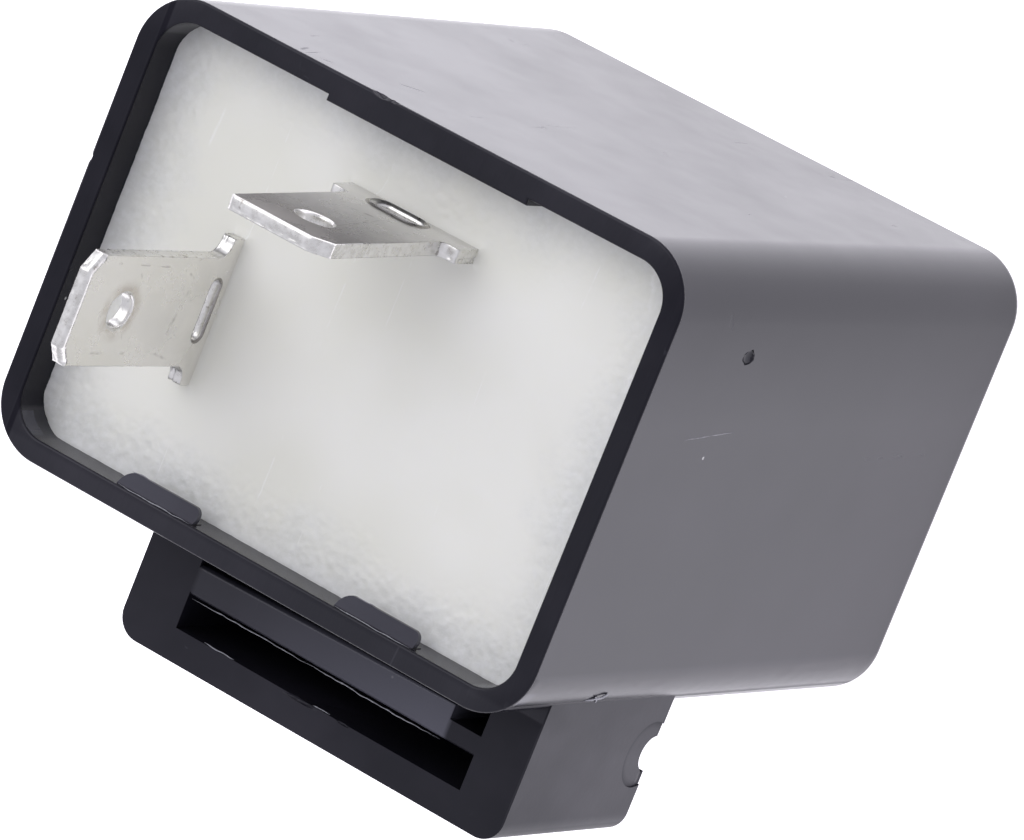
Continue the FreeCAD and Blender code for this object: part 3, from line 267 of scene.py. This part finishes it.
def milky_resin():
    """Cast epoxy: a smooth milky middle, frosted towards the walls, with faint streaks."""
    look = Look("potting_resin", (0.66, 0.66, 0.60), 0.35)
    near_x = look.rise(look.math("ABSOLUTE", look.coordinate(0)), 11.5, 16.6)
    near_y = look.rise(look.math("ABSOLUTE", look.coordinate(1)), 7.8, 11.9)
    rag = look.span(look.noise(200, 4), 0.35, 0.65, -0.3, 0.3)
    frost = look.rise(look.math("ADD", look.largest(near_x, near_y), rag), 0.3, 1.0)
    grain = look.noise(2400, 4)
    bubbles = look.node("ShaderNodeTexVoronoi", {"Vector": look.place, "Scale": 1500.0})
    spots = look.fall(bubbles, 0.1, 0.3)
    threads = look.scratches(190, look.stretched(1.0, 0.07, 1.0), 0.009, 0.53)
    pool = look.rise(look.noise(70, 2), 0.4, 0.6)
    clear = look.mix(pool, (0.77, 0.765, 0.70, 1), (0.82, 0.815, 0.77, 1))
    icy = look.mix(look.rise(grain, 0.42, 0.62), (0.655, 0.665, 0.655, 1), (0.735, 0.745, 0.75, 1))
    colour = look.mix(look.product(frost, 0.6), clear, icy)
    look.set("Base Color", look.mix(look.product(threads, 0.5), colour, (0.9, 0.9, 0.89, 1)))
    look.set("Roughness", look.span(frost, 0.0, 1.0, 0.28, 0.42))
    look.set("Subsurface Weight", 0.6)
    look.set("Subsurface Radius", (1.0, 1.0, 0.9))
    look.set("Subsurface Scale", 0.0025)
    look.relief(look.product(grain, frost), 0.03)
    look.relief(look.product(spots, frost), -0.012)
    look.relief(threads, 0.01)
    look.relief(look.noise(150, 2), 0.015)
    return look.done()


def tinned(name, tone, dull_tip, stain_tone, stain_at):
    """Bright tin over stamped brass: handling scores, oxide clouds, a duller tip and a brown stain."""
    look = Look(name, tone, 0.26, 1.0)
    cloud = look.noise(330, 4)
    fine = look.noise(2600, 3)
    scores = look.scratches(260, look.stretched(1.0, 0.8, 0.2), 0.01, 0.54)
    nicks = look.scratches(700, look.stretched(0.7, 0.5, 1.0), 0.02, 0.62)
    dark = tuple(0.88 * part for part in tone)
    colour = look.mix(look.rise(cloud, 0.38, 0.66), (*dark, 1), (*tone, 1))
    towards_tip = look.rise(look.coordinate(2), 37.0, 46.5)
    colour = look.mix(towards_tip, colour, (*dull_tip, 1))
    away = look.node("ShaderNodeVectorMath", {0: look.place, 1: Vector(stain_at) * MM},
                     output=1, operation="DISTANCE")
    patchy = look.span(look.noise(900, 3), 0.35, 0.6, 0.1, 0.6)
    stain = look.product(look.fall(away, 1.0 * MM, 1.9 * MM), patchy)
    colour = look.mix(stain, colour, (*stain_tone, 1))
    worn = look.product(look.largest(scores, nicks), 0.45)
    look.set("Base Color", look.mix(worn, colour, (0.25, 0.23, 0.21, 1)))
    rough = look.span(cloud, 0.35, 0.65, 0.2, 0.32)
    look.set("Roughness", look.math("ADD", rough, look.product(scores, 0.2)))
    look.relief(cloud, 0.008)
    look.relief(fine, 0.001)
    look.relief(look.math("ADD", scores, nicks), -0.004)
    return look.done()


def sheared_metal():
    """The broken, grainy wall that blanking leaves round a stamped tab."""
    look = Look("tinned_brass_sheared", (0.80, 0.79, 0.77), 0.3, 1.0)
    grain = look.noise(2200, 4)
    pits = look.fall(look.noise(1300, 3), 0.30, 0.36)
    colour = look.mix(look.rise(grain, 0.36, 0.6), (0.66, 0.65, 0.62, 1), (0.79, 0.78, 0.76, 1))
    look.set("Base Color", look.mix(look.product(pits, 0.6), colour, (0.26, 0.23, 0.20, 1)))
    look.set("Roughness", look.span(grain, 0.3, 0.7, 0.22, 0.4))
    look.relief(grain, 0.008)
    look.relief(look.noise(700, 3), 0.018)
    return look.done()


def rolled_metal(name, colour, rough, grain=(1.0, 1.0, 1.0)):
    """Sheet, wire or turned metal: drawing lines along its grain and uneven plating."""
    look = Look(name, colour, rough, 1.0)
    cloud = look.noise(420, 4)
    lines = look.noise(2500, 2, look.stretched(*grain))
    dark = tuple(0.72 * part for part in colour)
    look.set("Base Color", look.mix(look.rise(cloud, 0.35, 0.65), (*dark, 1), (*colour, 1)))
    look.set("Roughness", look.span(lines, 0.3, 0.7, rough * 0.75, rough * 1.4))
    look.relief(lines, 0.004)
    look.relief(cloud, 0.006)
    return look.done()


def moulded(name, colour, rough, mottling=0.75):
    """Plastic, rubber, lacquer or paper: mottled colour under a fine uneven skin."""
    look = Look(name, colour, rough)
    cloud = look.noise(500, 4)
    dark = tuple(mottling * part for part in colour)
    look.set("Base Color", look.mix(look.rise(cloud, 0.35, 0.65), (*dark, 1), (*colour, 1)))
    look.set("Roughness", look.span(look.noise(1800), 0.3, 0.7, rough * 0.8, min(1.0, rough * 1.2)))
    look.relief(cloud, 0.008)
    look.relief(look.noise(2600), 0.004)
    return look.done()


def laminate():
    """Paper laminate: tan sheet with darker fibres."""
    look = Look("board_laminate", (0.45, 0.33, 0.15), 0.55)
    fibres = look.noise(1200, 4, look.stretched(0.3, 2.0, 1.0))
    dark, tan = (0.36, 0.25, 0.11, 1), (0.50, 0.38, 0.18, 1)
    look.set("Base Color", look.mix(look.rise(fibres, 0.4, 0.62), dark, tan))
    look.relief(fibres, 0.01)
    return look.done()


# ---------------------------------------------------------------- shapes
def new_piece(name, points, faces, looks, flat=()):
    """A mesh from the CAD frame's millimetres, riding the base; `flat` faces keep their edges."""
    mesh = bpy.data.meshes.new(name)
    mesh.from_pydata([Vector(point) * MM for point in points], [], faces)
    for index, polygon in enumerate(mesh.polygons):
        polygon.use_smooth = index not in flat
    build = bmesh.new()
    build.from_mesh(mesh)
    bmesh.ops.recalc_face_normals(build, faces=build.faces)
    build.to_mesh(mesh)
    build.free()
    for look in looks:
        mesh.materials.append(look)
    item = bpy.data.objects.new(name, mesh)
    bpy.context.scene.collection.objects.link(item)
    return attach(item, "relay_base")


def arc(centre, radius, start, end, steps, bevel, tear):
    """Corners along an arc, angles in degrees, each with its edge bevel and tear."""
    corners = []
    for step in range(steps + 1):
        angle = math.radians(start + (end - start) * step / steps)
        corners.append((centre[0] + radius * math.cos(angle),
                        centre[1] + radius * math.sin(angle), bevel, tear))
    return corners


def walk(corners, step):
    """Points every `step` mm round a closed run of corners; a corner's bevel and tear hold to the next."""
    path = []
    for (u, v, bevel, tear), (next_u, next_v, _, _) in zip(corners, corners[1:] + corners[:1]):
        count = max(1, round(math.hypot(next_u - u, next_v - v) / step))
        for index in range(count):
            share = index / count
            path.append((u + (next_u - u) * share, v + (next_v - v) * share, bevel, tear))
    return path


def inside(point, loop):
    """Whether a point lies in a closed loop of points."""
    odd = False
    for (u, v), (next_u, next_v) in zip(loop, loop[1:] + loop[:1]):
        if (v > point[1]) != (next_v > point[1]):
            if point[0] < u + (point[1] - v) * (next_u - u) / (next_v - v):
                odd = not odd
    return odd


# A stamped edge's layers: degrees round its roll, then levels from the middle of the plate.
ROLL_ANGLES = (0, 22, 45, 67, 90)
SHEAR_DEPTHS = (0.1, 0.0, -0.08)
TEAR_DEPTHS = (-0.13, -0.18, -0.24, -0.3, -0.35)
DEEP_BEVEL = 0.15    # an edge more bevelled than this is bevelled at the back too


def edge_offset(kind, depth, corner, raised, seed):
    """How far inward and at what level a plate's edge lies at one corner of one layer."""
    u, v, bevel, tear = corner
    if kind == "roll" and raised:
        climb = depth / ROLL_ANGLES[-1]
        inset = 0.2 * (1 - climb) ** 1.6
        level = HALF_PLATE + raised * climb ** 1.5
    elif kind == "roll":
        angle = math.radians(depth)
        inset = bevel * (1 - math.sin(angle))
        level = HALF_PLATE - bevel * (1 - math.cos(angle))
    else:
        inset, level = 0.0, min(depth, HALF_PLATE - bevel)
    inset += 0.015 * noise.noise(Vector((u * 1.3, v * 1.3, seed)))
    if kind == "torn":
        grain = noise.noise(Vector((u * 4.5, v * 4.5, depth * 9 + seed)))
        inset += tear * (0.35 + 0.9 * grain)
    if kind == "back":
        ragged = noise.noise(Vector((u * 3.1, v * 3.1, seed + 7)))
        inset += 0.9 * bevel if bevel > DEEP_BEVEL else tear * 0.3 * ragged
        level -= tear * 0.4 * max(0.0, ragged)
    return inset, level


def plate_sides(loops, rings):
    """The plate's two flat sides, without its holes, as triangles between the loops' points."""
    faces = []
    outlines = [[(u, v) for u, v, _, _ in loop] for loop in loops]
    for layer in (0, -1):
        flats, edges, owners = [], [], []
        for outline, ring in zip(outlines, rings):
            start = len(flats)
            for index, (u, v) in enumerate(outline):
                owners.append(ring[layer][index])
                flats.append(Vector((u, v)))
                edges.append((start + index, start + (index + 1) % len(outline)))
        _, _, triangles, origins, _, _ = geometry.delaunay_2d_cdt(flats, edges, [], 1, 1e-6)
        for triangle in triangles:
            corners = [origins[corner][0] for corner in triangle]
            middle = sum((flats[corner] for corner in corners), Vector((0, 0))) / 3
            if not any(inside(middle, hole) for hole in outlines[1:]):
                faces.append(tuple(owners[corner] for corner in corners))
    return faces


def blanked(loops, place, seed, collar):
    """A stamped plate: rolled front edge, smooth shear, torn fracture and a burr at the back.

    The first loop runs anticlockwise round the outside and the others clockwise round holes. The
    last hole's edge stands up by `collar`, as where a punch came through. Returns the points, the
    faces with the flat sides first, how many are flat, and the points of the last hole's roll.
    """
    points, wall_faces, rings = [], [], []
    layers = [("roll", angle) for angle in ROLL_ANGLES]
    layers += [("wall", depth) for depth in SHEAR_DEPTHS]
    layers += [("torn", depth) for depth in TEAR_DEPTHS]
    layers += [("back", -HALF_PLATE)]
    for loop in loops:
        size = len(loop)
        raised = collar if loop is loops[-1] else 0.0
        ring = []
        for kind, depth in layers:
            row = []
            for index, corner in enumerate(loop):
                before, after = loop[index - 1], loop[(index + 1) % size]
                along = Vector((after[0] - before[0], after[1] - before[1])).normalized()
                inset, level = edge_offset(kind, depth, corner, raised, seed)
                row.append(len(points))
                points.append(place(corner[0] - along.y * inset, corner[1] + along.x * inset, level))
            ring.append(row)
        rings.append(ring)
        for upper, lower in zip(ring, ring[1:]):
            for index in range(size):
                after = (index + 1) % size
                wall_faces.append((upper[index], lower[index], lower[after], upper[after]))
    flat_faces = plate_sides(loops, rings)
    rolled = {index for row in rings[-1][:4] for index in row}
    return points, flat_faces + wall_faces, len(flat_faces), rolled


def tab_outline(tip, tip_edge, shoulder, shoulder_round, far_nose):
    """The tab's outline, anticlockwise: right tail, ear and nose, then left nose, ear and tail."""
    nose_in, nose_rise, ear_round = 1.0, 0.8, 0.2
    foot, tail_in, tail_out = 32.5, 1.9, 3.4
    edge, soft, ragged = 0.05, 0.03, 0.1
    ear = HALF_EAR - ear_round, shoulder - ear_round
    root = HALF_BLADE + shoulder_round, shoulder + shoulder_round
    right = [(tail_in, foot, edge, soft), (tail_in, TAIL_END, edge, soft),
             (tail_out, TAIL_END, edge, soft), (tail_out, foot, edge, soft),
             (HALF_EAR, foot, edge, ragged)]
    right += arc(ear, ear_round, 0, 90, 4, edge, ragged)
    right += arc(root, shoulder_round, -90, -180, 8, edge, soft)
    right += [(HALF_BLADE, tip - nose_rise, tip_edge, soft),
              (HALF_BLADE - nose_in, tip, tip_edge, soft)]
    left = [(-HALF_BLADE + far_nose, tip, tip_edge, soft),
            (-HALF_BLADE, tip - nose_rise * far_nose, edge, soft)]
    left += arc((-root[0], root[1]), shoulder_round, 0, -90, 8, edge, ragged)
    left += arc((-ear[0], ear[1]), ear_round, 90, 180, 4, edge, ragged)
    left += [(-HALF_EAR, foot, edge, soft), (-tail_out, foot, edge, soft),
             (-tail_out, TAIL_END, edge, soft), (-tail_in, TAIL_END, edge, soft),
             (-tail_in, foot, edge, soft)]
    return right + left


def terminal(name, node, place, skins, tip, tip_edge, shoulder, shoulder_round, hole, window,
             far_nose, collar, seed):
    """A male tab with its ears, detent hole, window and soldered tails, in place of a CAD node."""
    spacing, hole_radius, window_reach = 0.11, 1.0, 1.75
    hole_loop = arc((0, hole), hole_radius, 360, 0, 40, 0.16, 0.03)[:-1]
    shift, level, half_height = window
    reach = window_reach - half_height
    window_loop = arc((shift + reach, level), half_height, 90, -90, 16, 0.16, 0.07)
    window_loop += arc((shift - reach, level), half_height, -90, -270, 16, 0.16, 0.07)
    outline = tab_outline(tip, tip_edge, shoulder, shoulder_round, far_nose)
    loops = [walk(corners, spacing) for corners in (outline, hole_loop, window_loop)]
    points, faces, flat_count, rolled = blanked(loops, place, seed, collar)
    piece = new_piece(name, points, faces, skins, flat=set(range(flat_count)))
    for polygon in piece.data.polygons:
        if polygon.index >= flat_count:
            # faces of the window's rolled edge take the darker painted-shade metal
            polygon.material_index = 2 if rolled.issuperset(polygon.vertices) else 1
    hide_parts(node)


def terminals():
    """Both tabs: the supply tab across Y and the lamp tab across X, leaning a little to -Y."""
    wall = sheared_metal()
    # Painted shade: a darker copy of the tin for the rolled edge round each tab's window.
    roll = rolled_metal("tinned_brass_roll_painted_shade", (0.42, 0.40, 0.38), 0.3)
    supply_face = tinned("tinned_brass_supply", (0.93, 0.915, 0.88), (0.90, 0.885, 0.85),
                         (0.34, 0.26, 0.18), (-8.7, SUPPLY.y, 45.0))
    lamp_face = tinned("tinned_brass_lamp", (0.80, 0.79, 0.78), (0.33, 0.31, 0.295),
                       (0.30, 0.28, 0.25), (LAMP_X, 7.3, 45.4))

    def on_supply(u, v, w):
        return SUPPLY.x + w, SUPPLY.y + u, v

    def on_lamp(u, v, w):
        rise = v - RESIN_TOP
        return (LAMP_X + u, LAMP_Y - rise * math.sin(LAMP_LEAN) + w * math.cos(LAMP_LEAN),
                RESIN_TOP + rise * math.cos(LAMP_LEAN) + w * math.sin(LAMP_LEAN))

    terminal("supply_tab", "supply_terminal", on_supply, (supply_face, wall, roll),
             tip=SUPPLY_TIP, tip_edge=0.3, shoulder=36.7, shoulder_round=0.8, hole=45.0,
             window=(0.1, 36.8, 0.42), far_nose=1.0, collar=0.0, seed=3.0)
    terminal("lamp_tab", "lamp_terminal", on_lamp, (lamp_face, wall, roll),
             tip=48.7, tip_edge=0.14, shoulder=37.65, shoulder_round=0.5, hole=45.3,
             window=(-0.3, 37.0, 0.92), far_nose=0.2, collar=0.1, seed=11.0)


def resin_level(x, y):
    """The cast surface: crept up at the walls and tabs, rough towards the walls."""
    wall_creep, wall_reach, tab_creep, tab_reach, frosting = 0.3, 0.45, 0.22, 0.3, 0.05
    to_wall = min(CAVITY[0] - abs(x), CAVITY[1] - abs(y))
    level = RESIN_TOP + wall_creep * math.exp(-max(to_wall, 0.0) / wall_reach)
    for middle_x, middle_y, half_x, half_y in ((SUPPLY.x, SUPPLY.y, HALF_PLATE, HALF_EAR),
                                               (LAMP_X, LAMP_Y, HALF_EAR, HALF_PLATE)):
        away = math.hypot(max(abs(x - middle_x) - half_x, 0), max(abs(y - middle_y) - half_y, 0))
        level += tab_creep * math.exp(-away / tab_reach)
    patch = noise.noise(Vector((x * 0.3, y * 0.3, 5)))
    rough = min(1.0, max(0.0, (4.2 - to_wall) / 2.2 + 0.5 * patch))
    level += frosting * rough * noise.fractal(Vector((x * 2.6, y * 2.6, 1.5)), 0.9, 2.1, 4)
    return level + 0.03 * noise.noise(Vector((x * 0.2, y * 0.2, 9)))


def resin(look):
    """The potting: its cast top as a fine relief over a block down to the board."""
    half_x, half_y = CAVITY[0] + 0.12, CAVITY[1] + 0.12
    step = 0.11
    columns, rows = round(2 * half_x / step), round(2 * half_y / step)
    width = columns + 1
    points, faces = [], []
    for row in range(rows + 1):
        y = -half_y + 2 * half_y * row / rows
        for column in range(width):
            x = -half_x + 2 * half_x * column / columns
            points.append((x, y, resin_level(x, y)))
    for row in range(rows):
        for column in range(columns):
            corner = row * width + column
            faces.append((corner, corner + 1, corner + width + 1, corner + width))
    border = list(range(width))
    border += [row * width + columns for row in range(1, rows + 1)]
    border += [rows * width + column for column in range(columns - 1, -1, -1)]
    border += [row * width for row in range(rows - 1, 0, -1)]
    base, count = len(points), len(border)
    for index in border:
        points.append((points[index][0], points[index][1], RESIN_FOOT))
    for index in range(count):
        after = (index + 1) % count
        faces.append((border[index], base + index, base + after, border[after]))
    faces.append(tuple(base + index for index in reversed(range(count))))
    piece = new_piece("potting", points, faces, [look])
    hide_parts("potting_resin")


def winding(look):
    """The coil's outer layer as close turns, a ridge for each, between the flanges."""
    inner, turns, around, steps = 3.6, 46, 72, 6
    centre, half = measure("coil_winding")
    low, high, outer = centre.z - half.z, centre.z + half.z, half.x
    pitch = (high - low) / turns
    profile = [(inner, low)]
    for turn in range(turns):
        for step in range(steps):
            share = step / steps
            radius = outer - pitch * 0.5 * (1 - math.sin(math.pi * share))
            profile.append((radius, low + pitch * (turn + share)))
    profile += [(outer - pitch * 0.5, high), (inner, high)]
    points, faces = [], []
    for index in range(around):
        angle = 2 * math.pi * index / around
        for radius, z in profile:
            points.append((centre.x + radius * math.cos(angle), centre.y + radius * math.sin(angle), z))
    size = len(profile)
    for index in range(around):
        after = (index + 1) % around
        for step in range(size):
            following = (step + 1) % size
            faces.append((index * size + step, after * size + step,
                          after * size + following, index * size + following))
    piece = new_piece("winding_turns", points, faces, [look])
    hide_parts("coil_winding")


def strand(points, faces, path, radius, seed):
    """A thin uneven thread along a path, tapered to both ends."""
    spacing, sides = 0.12, 5
    dense = []
    for start, end in zip(path, path[1:]):
        start, end = Vector(start), Vector(end)
        count = max(2, round((end - start).length / spacing))
        dense += [start.lerp(end, index / count) for index in range(count)]
    dense.append(Vector(path[-1]))
    last, first = len(dense) - 1, len(points)
    for index, place in enumerate(dense):
        along = (dense[min(last, index + 1)] - dense[max(0, index - 1)]).normalized()
        side = along.orthogonal().normalized()
        other = along.cross(side)
        wander = noise.noise_vector(Vector((seed, index * 0.21, 0.5))) * radius * 1.1
        swell = 0.55 + 0.9 * abs(noise.noise(Vector((seed + 3, index * 0.34, 0.1))))
        taper = min(1.0, 0.15 + 4 * min(index, last - index) / max(1, last))
        for turn in range(sides):
            angle = 2 * math.pi * turn / sides
            offset = (side * math.cos(angle) + other * math.sin(angle)) * radius * swell * taper
            points.append(tuple(place + wander + offset))
    for index in range(last):
        lower, upper = first + index * sides, first + (index + 1) * sides
        for turn in range(sides):
            after = (turn + 1) % sides
            faces.append((lower + turn, lower + after, upper + after, upper + turn))
    faces.append(tuple(first + turn for turn in reversed(range(sides))))
    faces.append(tuple(first + last * sides + turn for turn in range(sides)))


def flash(look):
    """Threads and crumbs of moulding flash along the parting lines."""
    points, faces = [], []
    threads = [
        # torn skin where the loop's side joins the case
        ([(17.38, -12.05, 30.5), (17.62, -11.72, 29.7), (17.74, -11.48, 28.8)], 0.1),
        ([(17.36, -12.1, 29.2), (17.58, -11.8, 29.6), (17.7, -11.6, 30.1)], 0.07),
        # along the upper and lower edges of the two lugs
        ([(-9.3, -11.95, 37.9), (-7.2, -11.98, 37.93), (-4.3, -11.95, 37.9)], 0.035),
        ([(5.6, -11.95, 37.9), (8.0, -11.98, 37.93), (10.6, -11.95, 37.9)], 0.035),
        ([(-9.2, -11.22, 37.0), (-8.2, -11.18, 36.95), (-7.6, -11.2, 37.0)], 0.05),
        ([(5.9, -11.22, 37.0), (7.4, -11.18, 36.98)], 0.05),
        # along the grip bar's and the slot's front edges
        ([(-5.2, -16.85, 33.2), (-1.0, -16.8, 33.22), (3.0, -16.84, 33.2)], 0.04),
        ([(2.5, -16.8, 33.22), (7.5, -16.86, 33.2), (11.8, -16.82, 33.22)], 0.045),
        ([(-3.5, -18.65, 33.2), (-1.4, -18.62, 33.22)], 0.05),
        ([(4.0, -18.66, 33.2), (5.2, -18.62, 33.22)], 0.04),
        # fine hairs on the +X wall
        ([(18.075, 3.37, 32.5), (18.07, 3.6, 30.0), (18.06, 3.79, 27.5)], 0.022),
        ([(17.25, -11.9, 26.0), (17.45, -11.6, 24.6), (17.6, -11.3, 23.4)], 0.02),
    ]
    for index, (path, radius) in enumerate(threads):
        strand(points, faces, path, radius, 2.7 * index)
    piece = new_piece("moulding_flash", points, faces, [look])


def lump(points, faces, centre, size, seed):
    """An uneven closed blob, its three half sizes in millimetres, for cutting a chip or a pit."""
    rows, around, unevenness = 7, 10, 0.45
    first = len(points)
    for row in range(1, rows):
        tilt = math.pi * row / rows
        for step in range(around):
            turn = 2 * math.pi * step / around
            unit = Vector((math.sin(tilt) * math.cos(turn), math.sin(tilt) * math.sin(turn),
                           math.cos(tilt)))
            swell = 1 + unevenness * noise.noise(unit * 2.3 + Vector((seed, seed, seed)))
            points.append(tuple(centre[axis] + unit[axis] * size[axis] * swell for axis in range(3)))
    for row in range(rows - 2):
        upper, lower = first + row * around, first + (row + 1) * around
        for step in range(around):
            after = (step + 1) % around
            faces.append((upper + step, lower + step, lower + after, upper + after))
    poles, last = len(points), first + (rows - 2) * around
    points.append((centre[0], centre[1], centre[2] + size[2]))
    points.append((centre[0], centre[1], centre[2] - size[2]))
    for step in range(around):
        after = (step + 1) % around
        faces.append((poles, first + step, first + after))
        faces.append((poles + 1, last + after, last + step))


def welded_copy(name, node, look):
    """A CAD node's faces as one closed skin, smooth but for its sharp edges."""
    weld_distance, sharp_angle = 0.002 * MM, math.radians(32)
    build = bmesh.new()
    build.from_mesh(node.data)
    build.transform(node.matrix_world)
    bmesh.ops.remove_doubles(build, verts=build.verts, dist=weld_distance)
    build.verts.ensure_lookup_table()
    build.verts.index_update()
    points = [vertex.co / MM for vertex in build.verts]
    faces = [tuple(vertex.index for vertex in face.verts) for face in build.faces]
    build.free()
    piece = new_piece(name, points, faces, [look])
    piece.data.set_sharp_from_angle(angle=sharp_angle)
    return piece


def chips(look):
    """Cuts the case's nicks, its pit and the torn edge of its gate mark out of the housing."""
    points, faces = [], []
    places = [
        # the +X wall's pit and two specks
        ((18.12, 8.08, 29.2), (0.30, 0.42, 0.62)),
        ((18.14, 0.2, 6.7), (0.12, 0.16, 0.22)),
        ((18.16, 2.6, 18.4), (0.07, 0.1, 0.12)),
        # nicks in the rim's outer edge
        ((-3.1, 13.36, 38.05), (0.85, 0.28, 0.4)),
        ((-2.1, 13.36, 38.05), (0.35, 0.2, 0.3)),
        ((-18.12, 3.0, 38.05), (0.2, 0.4, 0.3)),
        # dents in the +Y wall
        ((-0.2, 13.34, 13.7), (0.3, 0.06, 0.14)),
        ((-6.3, 13.34, 20.2), (0.5, 0.06, 0.1)),
        # both ends of the gate mark
        ((16.8, -14.45, 20.2), (0.9, 0.14, 0.14)),
        ((16.9, -16.55, 20.55), (0.5, 0.15, 0.16)),
        # the slot's lower lip
        ((3.2, -18.8, 33.3), (1.3, 0.17, 0.3)),
        ((6.1, -18.75, 33.3), (0.5, 0.1, 0.25)),
    ]
    for index, (centre, size) in enumerate(places):
        lump(points, faces, centre, size, 1.7 * index)
    cutter = new_piece("chip_cutter", points, faces, [])
    cutter.hide_render = cutter.hide_viewport = True
    case = welded_copy("case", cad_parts["housing"], look)
    cut = case.modifiers.new("chips", "BOOLEAN")
    cut.operation, cut.solver, cut.object = "DIFFERENCE", "EXACT", cutter
    cut.use_self = True
    even = case.modifiers.new("flat_faces", "WEIGHTED_NORMAL")
    even.keep_sharp, even.weight = True, 100
    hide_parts("housing")


# ---------------------------------------------------------------- camera, floor and light
def make_camera():
    """A long lens above the potted end, looking down past the rim at the +X and +Y sides."""
    azimuth, elevation, roll = (math.radians(angle) for angle in (25.461, 59.368, 90.407))
    aim, distance = Vector((2.994, -2.572, 22.504)), 430.0
    back = Vector((math.cos(elevation) * math.cos(azimuth),
                   math.cos(elevation) * math.sin(azimuth), math.sin(elevation)))
    level_right = Vector((-math.sin(azimuth), math.cos(azimuth), 0))
    up = back.cross(level_right) * math.cos(roll) + level_right * math.sin(roll)
    turn = Matrix((up.cross(back), up, back)).transposed()
    data = bpy.data.cameras.new("camera")
    data.lens, data.sensor_width = 282.66, 36
    data.clip_start, data.clip_end = 0.01, 10
    camera = bpy.data.objects.new("camera", data)
    camera.matrix_world = Matrix.Translation((aim + back * distance) * MM) @ turn.to_4x4()
    bpy.context.scene.collection.objects.link(camera)
    bpy.context.scene.camera = camera


def make_floor():
    """A pale table that glows like a light table, so that the object casts hardly any shadow."""
    half_size = 3.0
    look = Look("pale_floor", (0.85, 0.85, 0.86), 0.7)
    look.set("Emission Color", (0.97, 0.94, 1.0, 1))
    look.set("Emission Strength", 1.05)
    corners = [(x * half_size, y * half_size, 0.0) for x, y in ((-1, -1), (1, -1), (1, 1), (-1, 1))]
    mesh = bpy.data.meshes.new("floor")
    mesh.from_pydata(corners, [], [(0, 1, 2, 3)])
    mesh.materials.append(look.done())
    floor = bpy.data.objects.new("floor", mesh)
    bpy.context.scene.collection.objects.link(floor)


def make_light():
    """An even pale studio with one large soft lamp above the object's -X, +Y corner."""
    world = bpy.data.worlds.new("studio")
    world.use_nodes = True
    background = world.node_tree.nodes["Background"]
    background.inputs["Color"].default_value = (0.92, 0.92, 1.0, 1)
    background.inputs["Strength"].default_value = 0.8
    bpy.context.scene.world = world
    data = bpy.data.lights.new("key", "AREA")
    data.size, data.energy = 0.9, 3.5
    lamp = bpy.data.objects.new("key", data)
    lamp.location = (-0.35, 0.45, 0.75)
    lamp.rotation_mode = "QUATERNION"
    lamp.rotation_quaternion = (Vector((0, 0, 0.02)) - lamp.location).to_track_quat("-Z", "Y")
    bpy.context.scene.collection.objects.link(lamp)
    bpy.context.scene.view_settings.view_transform = "Standard"


# ---------------------------------------------------------------- the scene
plated = rolled_metal("plated_steel", (0.60, 0.59, 0.55), 0.3, (1.0, 0.2, 1.0))
enamel = rolled_metal("enamelled_copper", (0.62, 0.25, 0.10), 0.3)
silver = rolled_metal("silver", (0.86, 0.85, 0.82), 0.22)
lead = rolled_metal("tinned_lead", (0.72, 0.71, 0.69), 0.3, (1.0, 1.0, 0.2))
finishes = {
    "circuit_board": laminate(),
    "copper_tracks": rolled_metal("copper", (0.78, 0.42, 0.26), 0.35),
    "solder_joints": rolled_metal("solder", (0.70, 0.70, 0.69), 0.25),
    "relay_yoke": plated,
    "armature": plated,
    "coil_core": rolled_metal("soft_iron", (0.48, 0.48, 0.48), 0.4, (1.0, 1.0, 0.15)),
    "coil_bobbin": moulded("bobbin_nylon", (0.66, 0.62, 0.50), 0.45),
    "coil_pins": rolled_metal("tinned_pin", (0.70, 0.70, 0.69), 0.3, (1.0, 1.0, 0.2)),
    "coil_wires": enamel,
    "contact_leaf": rolled_metal("spring_bronze", (0.74, 0.52, 0.28), 0.28, (0.2, 1.0, 1.0)),
    "leaf_rivets": rolled_metal("rivet_steel", (0.58, 0.58, 0.57), 0.35),
    "moving_contact": silver,
    "fixed_contact": silver,
    "contact_bracket": rolled_metal("bracket_brass", (0.76, 0.60, 0.28), 0.3, (1.0, 1.0, 0.2)),
    "return_spring": rolled_metal("spring_wire", (0.55, 0.55, 0.56), 0.3),
    "capacitor_can": rolled_metal("capacitor_can", (0.77, 0.77, 0.78), 0.3, (1.0, 1.0, 0.15)),
    "capacitor_sleeve": moulded("capacitor_sleeve", (0.02, 0.045, 0.20), 0.3),
    "capacitor_element": moulded("capacitor_element", (0.48, 0.40, 0.27), 0.8, 0.6),
    "capacitor_bung": moulded("capacitor_bung", (0.03, 0.03, 0.03), 0.6),
    "capacitor_leads": lead,
    "resistor_body": moulded("resistor_body", (0.30, 0.48, 0.52), 0.4),
    "resistor_leads": lead,
}
for name, finish in finishes.items():
    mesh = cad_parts[name].data
    mesh.materials.clear()
    mesh.materials.append(finish)

terminals()
resin(milky_resin())
winding(enamel)
flash(flash_plastic())
chips(black_plastic())
make_camera()
make_floor()
make_light()
